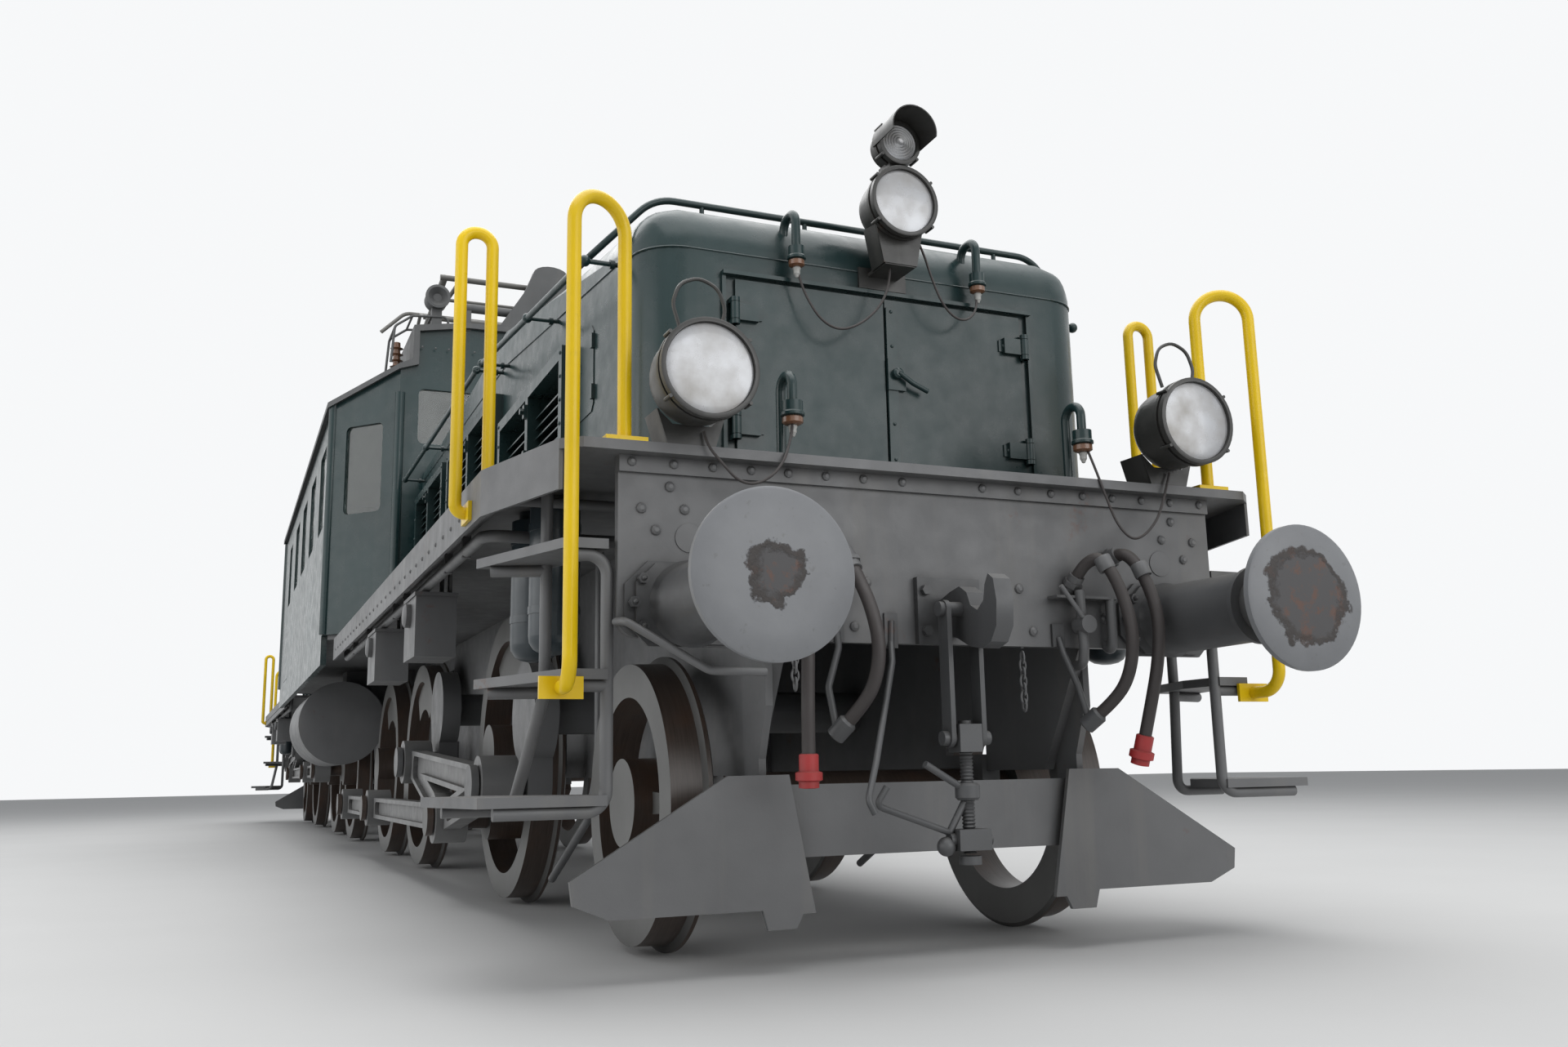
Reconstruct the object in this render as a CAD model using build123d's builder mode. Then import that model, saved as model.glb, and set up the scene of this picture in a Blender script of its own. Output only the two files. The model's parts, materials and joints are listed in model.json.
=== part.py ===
"""Articulated electric locomotive: a centre cab on two rod-driven bogies, each with its own hood.

Units are millimetres. +X points to the leading end, +Y to its left side and +Z up. The origin lies
under the middle of the locomotive, level with the tips of the wheel flanges. The rear end is the front
end turned half a turn about the vertical axis, so each bogie piece is drawn once and saved twice.
"""
import os
from math import atan2, cos, degrees, hypot, radians, sin

from build123d import *

os.makedirs("parts", exist_ok=True)

# Wheels and rail
FLANGE_DEPTH = 28
RAIL_TOP = FLANGE_DEPTH          # the flange tips are at height 0
DRIVER_R = 675
CARRIER_R = 475
TYRE_OUTER_Y = 820
TYRE_WIDTH = 140
RIM_DEPTH = 115
SPOKE_Z_THICK = 50
HUB_R = 150
HUB_OUTER_Y = 900
AXLE_R = 95
RUNNING_GAP = 0.5                # radial gap of a journal, pin or bore

# Axles and crank shafts of one bogie, front to rear
CARRIER_X = 8250
DRIVER_X = {"1": 6150, "2": 3250, "3": 1450}
SHAFT_X = {"jack": 5000, "blind": 7280}
SHAFT_HEIGHT = {"jack": 955, "blind": 830}
SHAFT_R = 90
CRANK_R = 290
CRANK_ANGLE = {-1: -90, 1: 0}    # direction of the crank pins on the right and left side
CRANK_DISC_R = 215
CRANK_INNER_Y = 875
CRANK_WEB_THICK = 100
PIN_R = 55
PIN_BOSS_R = 110
PIN_CAP_R = 82
PIN_CAP_THICK = 30
ROD_MID_Y = 1082
ROD_THICK = 80
ROD_BOSS_THICK = 150
ROD_BOSS_R = 118
ROD_DEPTH = 130
ROD_WEB_THICK = 30
ROD_FLANGE = 24

# Bogie frame
FRAME_MID_Y = 558
FRAME_THICK = 36
FRAME_BOTTOM = 560
FRAME_REAR_X = 450
FRAME_LOW_TOP = 1300             # under the cab
FRAME_STEP_X = 3100
PIVOT_X = 2350
PIVOT_R = 120
PIVOT_BORE_DEPTH = 150
PIVOT_END_GAP = 20               # between the pin's end and the floor of its bore
HORN_WIDTH = 300
AXLE_BOX = 290

# Deck and buffer beam
DECK_TOP = 1531
DECK_THICK = 31
DECK_FRONT_X = 9130
DECK_FRONT_HALF = 1215
DECK_BEVEL_X = 9080
DECK_BEVEL_HALF = 1275
DECK_CORNER_X = 8600
DECK_HALF = 1410
DECK_REAR_X = 3200
VALANCE_DEPTH = 150
VALANCE_THICK = 12
BEAM_X = 9062
BEAM_THICK = 32
BEAM_HALF = 1093
BEAM_BOTTOM = 960
BEAM_CORNER_R = 60
STRIP_THICK = 14
STRIP_BOTTOM = 1450
BUFFER_Y = 875
BUFFER_Z = 1060
BUFFER_FACE_X = 9730
BUFFER_DISC_R = 224
HOOK_Z = 1040

# Corner steps: each tread is a plate on two arms, and the arms belong to two bent pipes
STEP_FRONT_X = 9045
STEP_REAR_X = 8560
STEP_INNER = 1115
STEP_DEPTH = 195
STEP_TREAD_THICK = 30
STEP_PIPE_R = 19
STEP_BITE = 3                    # how far a pipe is let into the tread that it is welded to
STEP_TREADS = (                  # height of the tread's top, reach of its front edge, reach of its rear edge
    (1250, 1240, 1410),
    (870, 1240, 1410),
    (515, 1480, 1560),
)
STEP_PIPE_X = {"front": 9020, "rear": 8680}
STEP_REAR_PIPE_Y = 1214
STEP_REAR_FOOT_X = 8545
STEP_REAR_FOOT_Y = 1285
STEP_BEND = 60
BEAM_GAP = 0.3

# Grab rails
RAIL_R = 21
ARCH_TOP = 2265
ARCH_OUTER = (9180, 1262)
ARCH_INNER = (9098, 1085)
ARCH_FOOT = 815                  # height of the plate on the middle tread
FOOT_PLATE_WIDTH = 128
FOOT_PLATE_DEPTH = 64
FOOT_PLATE_THICK = 12
HOOP_X = 8390
HOOP_TOP = 2420
HOOP_BOTTOM = 1430
HOOP_OUT = 45                    # how far the hoop's outer leg stands off the deck edge

# Plough
PLOUGH_X = 8950
PLOUGH_BEAM_Z = 420
PLOUGH_BEAM_DEPTH = 220
PLOUGH_BEAM_HALF = 680
PLOUGH_PLATE = 16
PLOUGH_ARM = 24
BLADE = (                        # right blade, from its outer lower corner: distance to the left, height
    (-1200, 274), (-718, 560), (-516, 561), (-436, 147), (-478, 147), (-500, 105), (-593, 105), (-610, 163),
    (-1084, 163), (-1191, 207))

# Hood
HOOD_FRONT_X = 8700
HOOD_REAR_X = 3570
HOOD_HALF = 900
HOOD_TOP = 2650
HOOD_SHOULDER_R = 350
HOOD_CORNER_R = 80
DOOR_HALF = 565
DOOR_BOTTOM = 1610
DOOR_TOP = 2235
DOOR_PLATE = 14                  # the leaf's plate lies on the hood's face
DOOR_LAP = 12                    # by how much it laps over the edge of the opening
DOOR_FRAME = 24                  # stiffening frame behind the plate
DOOR_GAP = 6
CAVITY_DEPTH = 420
SEAT_GAP = 0.3

# Hinges of the hood doors and the cab doors
HINGE_PIN_R = 8
HINGE_EYE_R = 16
HINGE_EYE_HEIGHT = 60
HINGE_EAR = 16
HINGE_END_GAP = 2
HOOD_HINGE_X = HOOD_FRONT_X + 32
HOOD_HINGE_Y = DOOR_HALF + DOOR_LAP + 8
HOOD_HINGE_Z = (1720, 2125)

# Cab
CAB_FRONT_X = 3450
CAB_SIDE_X = 3000
CAB_FRONT_HALF = 1060
CAB_HALF = 1475
CAB_BOTTOM = 1576
SKIRT_BOTTOM = 1370
CAB_WALL = 40
EAVE = 3260
SHOULDER = 3470
ROOF_STEP_HALF = 980
ROOF_STEP_Z = 3760
ROOF_CROWN = 3830
ROOF_THICK = 40
ROOF_OVERHANG = 35
FLOOR_THICK = 30
BRIDGE_HALF_X = 2930
CAB_DOOR_X = 1900                # on the left side; the right side is the same, turned half a turn
SIDE_WINDOW_X = (-2350, -1300, -250, 800)
SIDE_WINDOW_WIDTH = 560
SIDE_WINDOW_LOW = 2420
SIDE_WINDOW_HEIGHT = 620
END_WINDOW_Y = 650
END_WINDOW_WIDTH = 560
END_WINDOW_LOW = 2900
END_WINDOW_HEIGHT = 400
BEVEL_WINDOW_WIDTH = 330
BEVEL_WINDOW_LOW = 2420
BEVEL_WINDOW_HEIGHT = 640
GLASS_THICK = 6
PANE_GAP = 0.3
WINDOW_CORNER_R = 40
DOOR_PANEL = 36
CAB_DOOR_WIDTH = 640
CAB_DOOR_BOTTOM = 1600
CAB_DOOR_TOP = 3150
CAB_HINGE_X = CAB_DOOR_X + CAB_DOOR_WIDTH / 2 + 6
CAB_HINGE_Y = CAB_HALF - CAB_WALL - 20
CAB_HINGE_Z = (1850, 2900)

# Pantographs
PANTO_X = 1750
PANTO_HALF_BASE = 300
PANTO_PIVOT_Z = 4060
PANTO_ARM = 1300
PANTO_REST_ANGLE = 6
PANTO_LOWER_Y = 760
PANTO_UPPER_Y = 640
PANTO_TUBE_R = 21
PANTO_SHAFT_R = 32
PANTO_HEAD_RISE = 120
PANTO_HEAD_HALF = 900

# Heavy pieces under the deck and the cab
MOTOR_X = (4620, 5900)
MOTOR_LENGTH = 480
MOTOR_HEIGHT = 300
DRUM_R = 355
DRUM_Y = 1115
DRUM_Z = 1060
DRUM_HALF = 680


def above_rail(height):
    """A height over the rail head, as a height over the flange tips."""
    return RAIL_TOP + height


def save(solid, name):
    solid.label = name
    export_step(solid, f"parts/{name}.step")


def save_both_ends(solid, name):
    """The rear piece is the front one turned half a turn about the vertical axis."""
    save(solid, f"front_{name}")
    save(solid.rotate(Axis.Z, 180), f"rear_{name}")


def side_plane(side, x, y, z):
    """A plane across the locomotive: its normal points outwards, its own y axis points up."""
    return Plane(origin=(x, side * y, z), x_dir=(-side, 0, 0), z_dir=(0, side, 0))


def cross_section(x, z):
    """A plane along an axle: its own x runs along +Y and its own y up."""
    return Plane(origin=(x, 0, z), x_dir=(0, 1, 0), z_dir=(1, 0, 0))


def crank_offset(side):
    angle = radians(CRANK_ANGLE[side])
    return CRANK_R * cos(angle), CRANK_R * sin(angle)


def bar_between(start, end, radius):
    """A round bar from one point to another."""
    with BuildPart() as bar:
        with BuildSketch(Plane(origin=start, z_dir=Vector(*end) - Vector(*start))):
            Circle(radius)
        extrude(amount=(Vector(*end) - Vector(*start)).length)
    return bar.part


def bent_bar(points, radius, bend_radius):
    """A round bar along straight runs with rounded bends."""
    with BuildPart() as bar:
        with BuildLine():
            path = FilletPolyline(*points, radius=bend_radius)
        with BuildSketch(Plane(origin=path @ 0, z_dir=path % 0)):
            Circle(radius)
        sweep(path=path)
    return bar.part


def tyre_profile(tread_r, side):
    """Half section of rim and tyre: distance from the middle, then radius."""
    outer = side * TYRE_OUTER_Y
    inner = side * (TYRE_OUTER_Y - TYRE_WIDTH)
    return [
        (outer, tread_r - RIM_DEPTH),
        (outer, tread_r),
        (inner + side * 34, tread_r + 3),
        (inner + side * 22, tread_r + FLANGE_DEPTH),
        (inner + side * 8, tread_r + FLANGE_DEPTH),
        (inner, tread_r + 14),
        (inner, tread_r - RIM_DEPTH),
    ]


def crank_pin(side, pin_x, pin_z, start_y):
    """A crank pin with its retaining cap."""
    cap_y = ROD_MID_Y + ROD_BOSS_THICK / 2 + 6
    with BuildPart() as pin:
        with BuildSketch(side_plane(side, pin_x, start_y, pin_z)):
            Circle(PIN_R)
        extrude(amount=cap_y - start_y)
        with BuildSketch(side_plane(side, pin_x, cap_y, pin_z)):
            Circle(PIN_CAP_R)
        extrude(amount=PIN_CAP_THICK)
    return pin.part


def wheelset(axle_x, tread_r, spoke_count, cranked):
    """An axle with its two spoked wheels and, on a driven axle, its counterweights and crank pins."""
    axle_z = above_rail(tread_r)
    rim_r = tread_r - RIM_DEPTH
    spoke_inner = TYRE_OUTER_Y - TYRE_WIDTH / 2 - SPOKE_Z_THICK / 2
    hub_outer = HUB_OUTER_Y if cranked else TYRE_OUTER_Y + 20
    with BuildPart() as wheels:
        with BuildSketch(cross_section(axle_x, axle_z)):
            with BuildLine():
                Polyline(
                    (-hub_outer, 0), (-hub_outer, HUB_R), (-TYRE_OUTER_Y + TYRE_WIDTH, HUB_R),
                    (-TYRE_OUTER_Y + TYRE_WIDTH, AXLE_R), (TYRE_OUTER_Y - TYRE_WIDTH, AXLE_R),
                    (TYRE_OUTER_Y - TYRE_WIDTH, HUB_R), (hub_outer, HUB_R), (hub_outer, 0), close=True)
            make_face()
            for side in (-1, 1):
                with BuildLine():
                    Polyline(*tyre_profile(tread_r, side), close=True)
                make_face()
        revolve(axis=Axis((axle_x, 0, axle_z), (0, 1, 0)))
        for side in (-1, 1):
            with BuildSketch(side_plane(side, axle_x, spoke_inner, axle_z)):
                with PolarLocations(0, spoke_count, start_angle=90):
                    with BuildLine():
                        Polyline((HUB_R - 20, -38), (HUB_R - 20, 38), (rim_r + 10, 27), (rim_r + 10, -27), close=True)
                    make_face()
            extrude(amount=SPOKE_Z_THICK)
            if cranked:
                dx, dz = crank_offset(side)
                pin_x = axle_x + dx
                pin_z = axle_z + dz
                weight_dir = CRANK_ANGLE[side] + 180
                plane = side_plane(side, axle_x, TYRE_OUTER_Y - TYRE_WIDTH + 20, axle_z)
                local_dir = weight_dir if side < 0 else 180 - weight_dir
                with BuildSketch(plane):
                    Circle(rim_r + 5)
                    Circle(rim_r * 0.66, mode=Mode.SUBTRACT)
                    wedge = 1000
                    with BuildLine():
                        Polyline(
                            (0, 0),
                            (wedge * cos(radians(local_dir - 36)), wedge * sin(radians(local_dir - 36))),
                            (wedge * cos(radians(local_dir + 36)), wedge * sin(radians(local_dir + 36))),
                            close=True)
                    make_face(mode=Mode.INTERSECT)
                extrude(amount=TYRE_WIDTH - 50)
                with BuildSketch(side_plane(side, axle_x, TYRE_OUTER_Y - TYRE_WIDTH + 20, axle_z)):
                    with Locations((-side * dx, dz)):
                        Circle(PIN_BOSS_R)
                    with Locations(Location((-side * dx / 2, dz / 2, 0), (0, 0, local_dir))):
                        Rectangle(CRANK_R, 2 * PIN_BOSS_R)
                extrude(amount=HUB_OUTER_Y - TYRE_OUTER_Y + TYRE_WIDTH - 20)
                add(crank_pin(side, pin_x, pin_z, HUB_OUTER_Y - 5))
    return wheels.part


def crank_shaft(name):
    """The jackshaft or the blind shaft: a shaft with a crank disc, web and pin at each end."""
    x = SHAFT_X[name]
    z = above_rail(SHAFT_HEIGHT[name])
    with BuildPart() as shaft:
        with BuildSketch(side_plane(-1, x, CRANK_INNER_Y, z)):
            Circle(SHAFT_R)
        extrude(amount=-2 * CRANK_INNER_Y)
        for side in (-1, 1):
            dx, dz = crank_offset(side)
            with BuildSketch(side_plane(side, x, CRANK_INNER_Y, z)):
                Circle(CRANK_DISC_R)
                with Locations((-side * dx, dz)):
                    Circle(PIN_BOSS_R)
                angle = degrees(atan2(dz, -side * dx))
                with Locations(Location((-side * dx / 2, dz / 2, 0), (0, 0, angle))):
                    Rectangle(CRANK_R, 2 * PIN_BOSS_R)
            extrude(amount=CRANK_WEB_THICK)
            add(crank_pin(side, x + dx, z + dz, CRANK_INNER_Y + CRANK_WEB_THICK - 5))
    return shaft.part


def rod_bosses(side):
    """Places of the pins on one side, by name: x and height."""
    dx, dz = crank_offset(side)
    places = {key: (x + dx, above_rail(DRIVER_R) + dz) for key, x in DRIVER_X.items()}
    for key, x in SHAFT_X.items():
        places[key] = (x + dx, above_rail(SHAFT_HEIGHT[key]) + dz)
    return places


def rods(side):
    """The triangular rod and the coupling rod of one side, which move as one."""
    pins = rod_bosses(side)
    inner = ROD_MID_Y - ROD_THICK / 2
    boss_inner = ROD_MID_Y - ROD_BOSS_THICK / 2
    beams = [("jack", "blind"), ("jack", "1"), ("blind", "1"), ("1", "2"), ("2", "3")]
    with BuildPart() as rod:
        for first, last in beams:
            x1, z1 = pins[first]
            x2, z2 = pins[last]
            length = hypot(x2 - x1, z2 - z1)
            angle = degrees(atan2(z2 - z1, -side * (x2 - x1)))
            middle = side_plane(side, (x1 + x2) / 2, inner, (z1 + z2) / 2)
            with BuildSketch(middle):
                with Locations(Location((0, 0, 0), (0, 0, angle))):
                    Rectangle(length, ROD_DEPTH)
            extrude(amount=ROD_THICK)
        for key, (x, z) in pins.items():
            with BuildSketch(side_plane(side, x, boss_inner, z)):
                Circle(ROD_BOSS_R)
            extrude(amount=ROD_BOSS_THICK)
        for first, last in beams:
            x1, z1 = pins[first]
            x2, z2 = pins[last]
            length = hypot(x2 - x1, z2 - z1) - 2 * ROD_BOSS_R - 120
            angle = degrees(atan2(z2 - z1, -side * (x2 - x1)))
            for face in (inner, inner + ROD_THICK):
                depth = (ROD_THICK - ROD_WEB_THICK) / 2
                start = face if face == inner else face - depth
                with BuildSketch(side_plane(side, (x1 + x2) / 2, start, (z1 + z2) / 2)):
                    with Locations(Location((0, 0, 0), (0, 0, angle))):
                        SlotOverall(length, ROD_DEPTH - 2 * ROD_FLANGE)
                extrude(amount=depth, mode=Mode.SUBTRACT)
        for key, (x, z) in pins.items():
            with BuildSketch(side_plane(side, x, boss_inner, z)):
                Circle(PIN_R + RUNNING_GAP)
            extrude(amount=ROD_BOSS_THICK, mode=Mode.SUBTRACT)
    return rod.part


# Bogie frame: two plates, cross members, axle boxes, motors and brake gear
def bogie_frame():
    """Two plates with horn gaps, joined by cross members; the axle boxes fill the horn gaps."""
    low = above_rail(FRAME_BOTTOM)
    low_top = above_rail(FRAME_LOW_TOP)
    top = above_rail(DECK_TOP - DECK_THICK)
    front = BEAM_X - BEAM_THICK
    plate_inner = FRAME_MID_Y - FRAME_THICK / 2
    with BuildPart() as frame:
        for side in (-1, 1):
            with BuildSketch(Plane(origin=(0, side * FRAME_MID_Y, 0), x_dir=(1, 0, 0), z_dir=(0, -1, 0))):
                with BuildLine():
                    Polyline(
                        (FRAME_REAR_X, low), (front - 250, low), (front, low + 420), (front, top),
                        (FRAME_STEP_X + 120, top), (FRAME_STEP_X, low_top), (FRAME_REAR_X, low_top), close=True)
                make_face()
                for x in DRIVER_X.values():
                    with Locations((x, low)):
                        Rectangle(HORN_WIDTH, 2 * (above_rail(DRIVER_R) - low + AXLE_BOX / 2), mode=Mode.SUBTRACT)
                with Locations((CARRIER_X, low)):
                    Rectangle(HORN_WIDTH, 2 * (above_rail(CARRIER_R) - low + AXLE_BOX / 2 + 90), mode=Mode.SUBTRACT)
                for key, x in SHAFT_X.items():
                    with Locations((x, above_rail(SHAFT_HEIGHT[key]))):
                        Circle(SHAFT_R + RUNNING_GAP, mode=Mode.SUBTRACT)
            extrude(amount=FRAME_THICK / 2, both=True)
        for x, z, height, length in (
                (FRAME_REAR_X + 15, (low + low_top) / 2, low_top - low - 120, 30),
                (PIVOT_X, low_top - 130, 260, 500),
                (4250, low_top - 60, 400, 30),
                (6720, top - 150, 300, 30),
                (front - 20, (low + 420 + top) / 2, top - low - 430, 40)):
            with Locations((x, 0, z)):
                Box(length, 2 * plate_inner + 2, height)
        with Locations((PIVOT_X, 0, low_top)):
            Cylinder(PIVOT_R + 60, 40, align=(Align.CENTER, Align.CENTER, Align.MIN))
        with Locations((PIVOT_X, 0, low_top - PIVOT_BORE_DEPTH)):
            Cylinder(PIVOT_R + RUNNING_GAP, 400, align=(Align.CENTER, Align.CENTER, Align.MIN), mode=Mode.SUBTRACT)
    return frame.part


def axle_boxes():
    """Axle boxes of the three driven axles and the carrying axle, as separate solids between the horns."""
    boxes = [(x, above_rail(DRIVER_R)) for x in DRIVER_X.values()]
    boxes.append((CARRIER_X, above_rail(CARRIER_R)))
    with BuildPart() as box_set:
        for x, z in boxes:
            for side in (-1, 1):
                with BuildSketch(side_plane(side, x, FRAME_MID_Y - FRAME_THICK / 2 - 20, z)):
                    Rectangle(HORN_WIDTH - 1, AXLE_BOX)
                    Circle(AXLE_R + RUNNING_GAP, mode=Mode.SUBTRACT)
                extrude(amount=FRAME_THICK + 40)
    return box_set.part


def motors():
    """Two motors between the frame plates, as plain heavy blocks."""
    with BuildPart() as motor_set:
        for x in MOTOR_X:
            with Locations((x, 0, above_rail(DECK_TOP - DECK_THICK) - MOTOR_HEIGHT / 2)):
                Box(MOTOR_LENGTH, 2 * (FRAME_MID_Y - FRAME_THICK / 2), MOTOR_HEIGHT)
    return motor_set.part


# Deck, corner steps and valance
def deck():
    """The deck plate with a valance along its sides and its bevelled corners."""
    top = above_rail(DECK_TOP)
    corners = [
        (DECK_REAR_X, DECK_HALF), (DECK_CORNER_X, DECK_HALF), (DECK_BEVEL_X, DECK_BEVEL_HALF),
        (DECK_FRONT_X, DECK_FRONT_HALF)]
    valance = corners[:-1]
    with BuildPart() as plate:
        with BuildSketch(Plane.XY.offset(top - DECK_THICK)):
            with BuildLine():
                Polyline(*corners, *[(x, -y) for x, y in reversed(corners)], close=True)
            make_face()
        extrude(amount=DECK_THICK)
        with BuildSketch(Plane.XY.offset(top - VALANCE_DEPTH)):
            for side in (-1, 1):
                outer = [(x, side * y) for x, y in valance]
                inner = [(x, side * (y - VALANCE_THICK)) for x, y in reversed(valance)]
                with BuildLine():
                    Polyline(*outer, *inner, close=True)
                make_face()
        extrude(amount=VALANCE_DEPTH - DECK_THICK)
    return plate.part


def step_tread(side, height, front_reach, rear_reach):
    """One tread of the corner steps: a plate whose outer edge follows the deck's corner."""
    with BuildPart() as tread:
        with BuildSketch(Plane.XY.offset(above_rail(height) - STEP_TREAD_THICK)):
            with BuildLine():
                Polyline(
                    (STEP_FRONT_X, side * STEP_INNER), (STEP_FRONT_X, side * front_reach),
                    (STEP_REAR_X, side * rear_reach), (STEP_REAR_X, side * (rear_reach - STEP_DEPTH)),
                    (STEP_FRONT_X - STEP_DEPTH, side * STEP_INNER), close=True)
            make_face()
        extrude(amount=STEP_TREAD_THICK)
    return tread.part


def corner_steps(side):
    """Three treads on a front and a rear pipe; only the rear pipe reaches up to the deck."""
    arm_z = [above_rail(row[0]) - STEP_TREAD_THICK - STEP_PIPE_R + STEP_BITE for row in STEP_TREADS]
    top_z, middle_z, low_z = arm_z
    front_x = STEP_PIPE_X["front"]
    front_y = side * (BEAM_HALF + STEP_PIPE_R + BEAM_GAP)
    rear_x = STEP_PIPE_X["rear"]
    rear_y = side * STEP_REAR_PIPE_Y
    with BuildPart() as steps:
        for height, front_reach, rear_reach in STEP_TREADS:
            add(step_tread(side, height, front_reach, rear_reach))
        add(bent_bar([
            (front_x, side * 1235, top_z), (front_x, front_y, top_z), (front_x, front_y, low_z),
            (front_x, side * 1433, low_z)], STEP_PIPE_R, STEP_BEND))
        add(bar_between((front_x, front_y, middle_z), (front_x, side * 1235, middle_z), STEP_PIPE_R))
        add(bent_bar([
            (rear_x, rear_y, above_rail(DECK_TOP - DECK_THICK)), (rear_x, rear_y, middle_z),
            (STEP_REAR_FOOT_X + 30, side * STEP_REAR_FOOT_Y, low_z), (STEP_REAR_FOOT_X + 30, side * 1500, low_z)],
            STEP_PIPE_R, STEP_BEND))
        for z in (top_z, middle_z):
            add(bar_between((rear_x, rear_y, z), (8620, side * 1375, z), STEP_PIPE_R))
    return steps.part


def grab_rails():
    """The yellow rails by the corner steps: a long arch at the front and a hoop behind it."""
    foot_x = STEP_FRONT_X + BEAM_GAP
    outer_x, outer_y = ARCH_OUTER
    inner_x, inner_y = ARCH_INNER
    arch_bend = hypot(outer_x - inner_x, outer_y - inner_y) / 2 - 1
    deck_top = above_rail(DECK_TOP)
    with BuildPart() as rails:
        for side in (-1, 1):
            with BuildLine():
                path = FilletPolyline(
                    (foot_x + FOOT_PLATE_THICK - 2, side * (outer_y - 8), above_rail(ARCH_FOOT)),
                    (outer_x, side * outer_y, above_rail(ARCH_FOOT)), (outer_x, side * outer_y, above_rail(ARCH_TOP)),
                    (inner_x, side * inner_y, above_rail(ARCH_TOP)), (inner_x, side * inner_y, deck_top + 2),
                    radius=(75, arch_bend, arch_bend))
            with BuildSketch(Plane(origin=path @ 0, z_dir=path % 0)):
                Circle(RAIL_R)
            sweep(path=path)
            with Locations((foot_x, side * (outer_y - 8), above_rail(ARCH_FOOT))):
                Box(FOOT_PLATE_THICK, FOOT_PLATE_WIDTH, FOOT_PLATE_DEPTH, align=(Align.MIN, Align.CENTER, Align.CENTER))
            with Locations((inner_x, side * inner_y, deck_top)):
                Box(FOOT_PLATE_DEPTH, FOOT_PLATE_WIDTH, FOOT_PLATE_THICK, align=(Align.CENTER, Align.CENTER, Align.MIN))
            outer_leg = side * (DECK_HALF + HOOP_OUT)
            inner_leg = side * (DECK_HALF - 60)
            add(bent_bar([
                (HOOP_X, side * (DECK_HALF + FOOT_PLATE_THICK - 2), above_rail(HOOP_BOTTOM)),
                (HOOP_X, outer_leg, above_rail(HOOP_BOTTOM)), (HOOP_X, outer_leg, above_rail(HOOP_TOP)),
                (HOOP_X, inner_leg, above_rail(HOOP_TOP)), (HOOP_X, inner_leg, deck_top + 2)],
                RAIL_R, (30, 51, 51)))
            with Locations((HOOP_X, side * (DECK_HALF + FOOT_PLATE_THICK / 2 + BEAM_GAP), above_rail(HOOP_BOTTOM))):
                Box(FOOT_PLATE_WIDTH, FOOT_PLATE_THICK, FOOT_PLATE_DEPTH)
            with Locations((HOOP_X, inner_leg, deck_top)):
                Box(FOOT_PLATE_WIDTH, FOOT_PLATE_DEPTH, FOOT_PLATE_THICK, align=(Align.CENTER, Align.CENTER, Align.MIN))
    return rails.part


# Buffer beam and plough
def end_beam():
    bottom = above_rail(BEAM_BOTTOM)
    top = above_rail(DECK_TOP - DECK_THICK)
    with BuildPart() as beam:
        with BuildSketch(Plane(origin=(BEAM_X - BEAM_THICK, 0, 0), x_dir=(0, 1, 0), z_dir=(1, 0, 0))):
            with Locations((0, (bottom + top) / 2)):
                Rectangle(2 * BEAM_HALF, top - bottom)
        extrude(amount=BEAM_THICK)
        edges = beam.edges().filter_by(Axis.X).group_by(Axis.Z)[0]
        fillet(edges, BEAM_CORNER_R)
        with Locations((BEAM_X, 0, above_rail(STRIP_BOTTOM))):
            Box(STRIP_THICK, 2 * BEAM_HALF, top - above_rail(STRIP_BOTTOM),
                align=(Align.MIN, Align.CENTER, Align.MIN))
    return beam.part


def plough():
    """A cross beam below the buffer beam, its two arms along the frame plates and a guard blade at each side."""
    beam_plane = Plane(origin=(PLOUGH_X - PLOUGH_PLATE / 2 - 40, 0, 0), x_dir=(0, 1, 0), z_dir=(1, 0, 0))
    blade_plane = Plane(origin=(PLOUGH_X - PLOUGH_PLATE / 2, 0, 0), x_dir=(0, 1, 0), z_dir=(1, 0, 0))
    arm_y = FRAME_MID_Y + FRAME_THICK / 2 + BEAM_GAP
    arm_low = above_rail(PLOUGH_BEAM_Z - PLOUGH_BEAM_DEPTH / 2)
    with BuildPart() as guard:
        with BuildSketch(beam_plane):
            with Locations((0, above_rail(PLOUGH_BEAM_Z))):
                Rectangle(2 * PLOUGH_BEAM_HALF, PLOUGH_BEAM_DEPTH)
        extrude(amount=PLOUGH_PLATE)
        for side in (-1, 1):
            with BuildSketch(blade_plane):
                with BuildLine():
                    Polyline(*[(-side * y, above_rail(z)) for y, z in BLADE], close=True)
                make_face()
            extrude(amount=PLOUGH_PLATE)
            with Locations((PLOUGH_X - 48, side * arm_y, arm_low)):
                Box(48, 120, PLOUGH_BEAM_DEPTH, align=(Align.MIN, Align.MIN if side > 0 else Align.MAX, Align.MIN))
            with BuildSketch(side_plane(side, PLOUGH_X - 40, arm_y, arm_low)):
                with BuildLine():
                    top = above_rail(BEAM_BOTTOM + 120) - arm_low
                    Polyline(
                        (-8 * side, 0), (90 * side, 0), (150 * side, top), (-72 * side, top), (-72 * side, 460),
                        (-8 * side, 300), close=True)
                make_face()
            extrude(amount=PLOUGH_ARM)
    return guard.part


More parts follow.
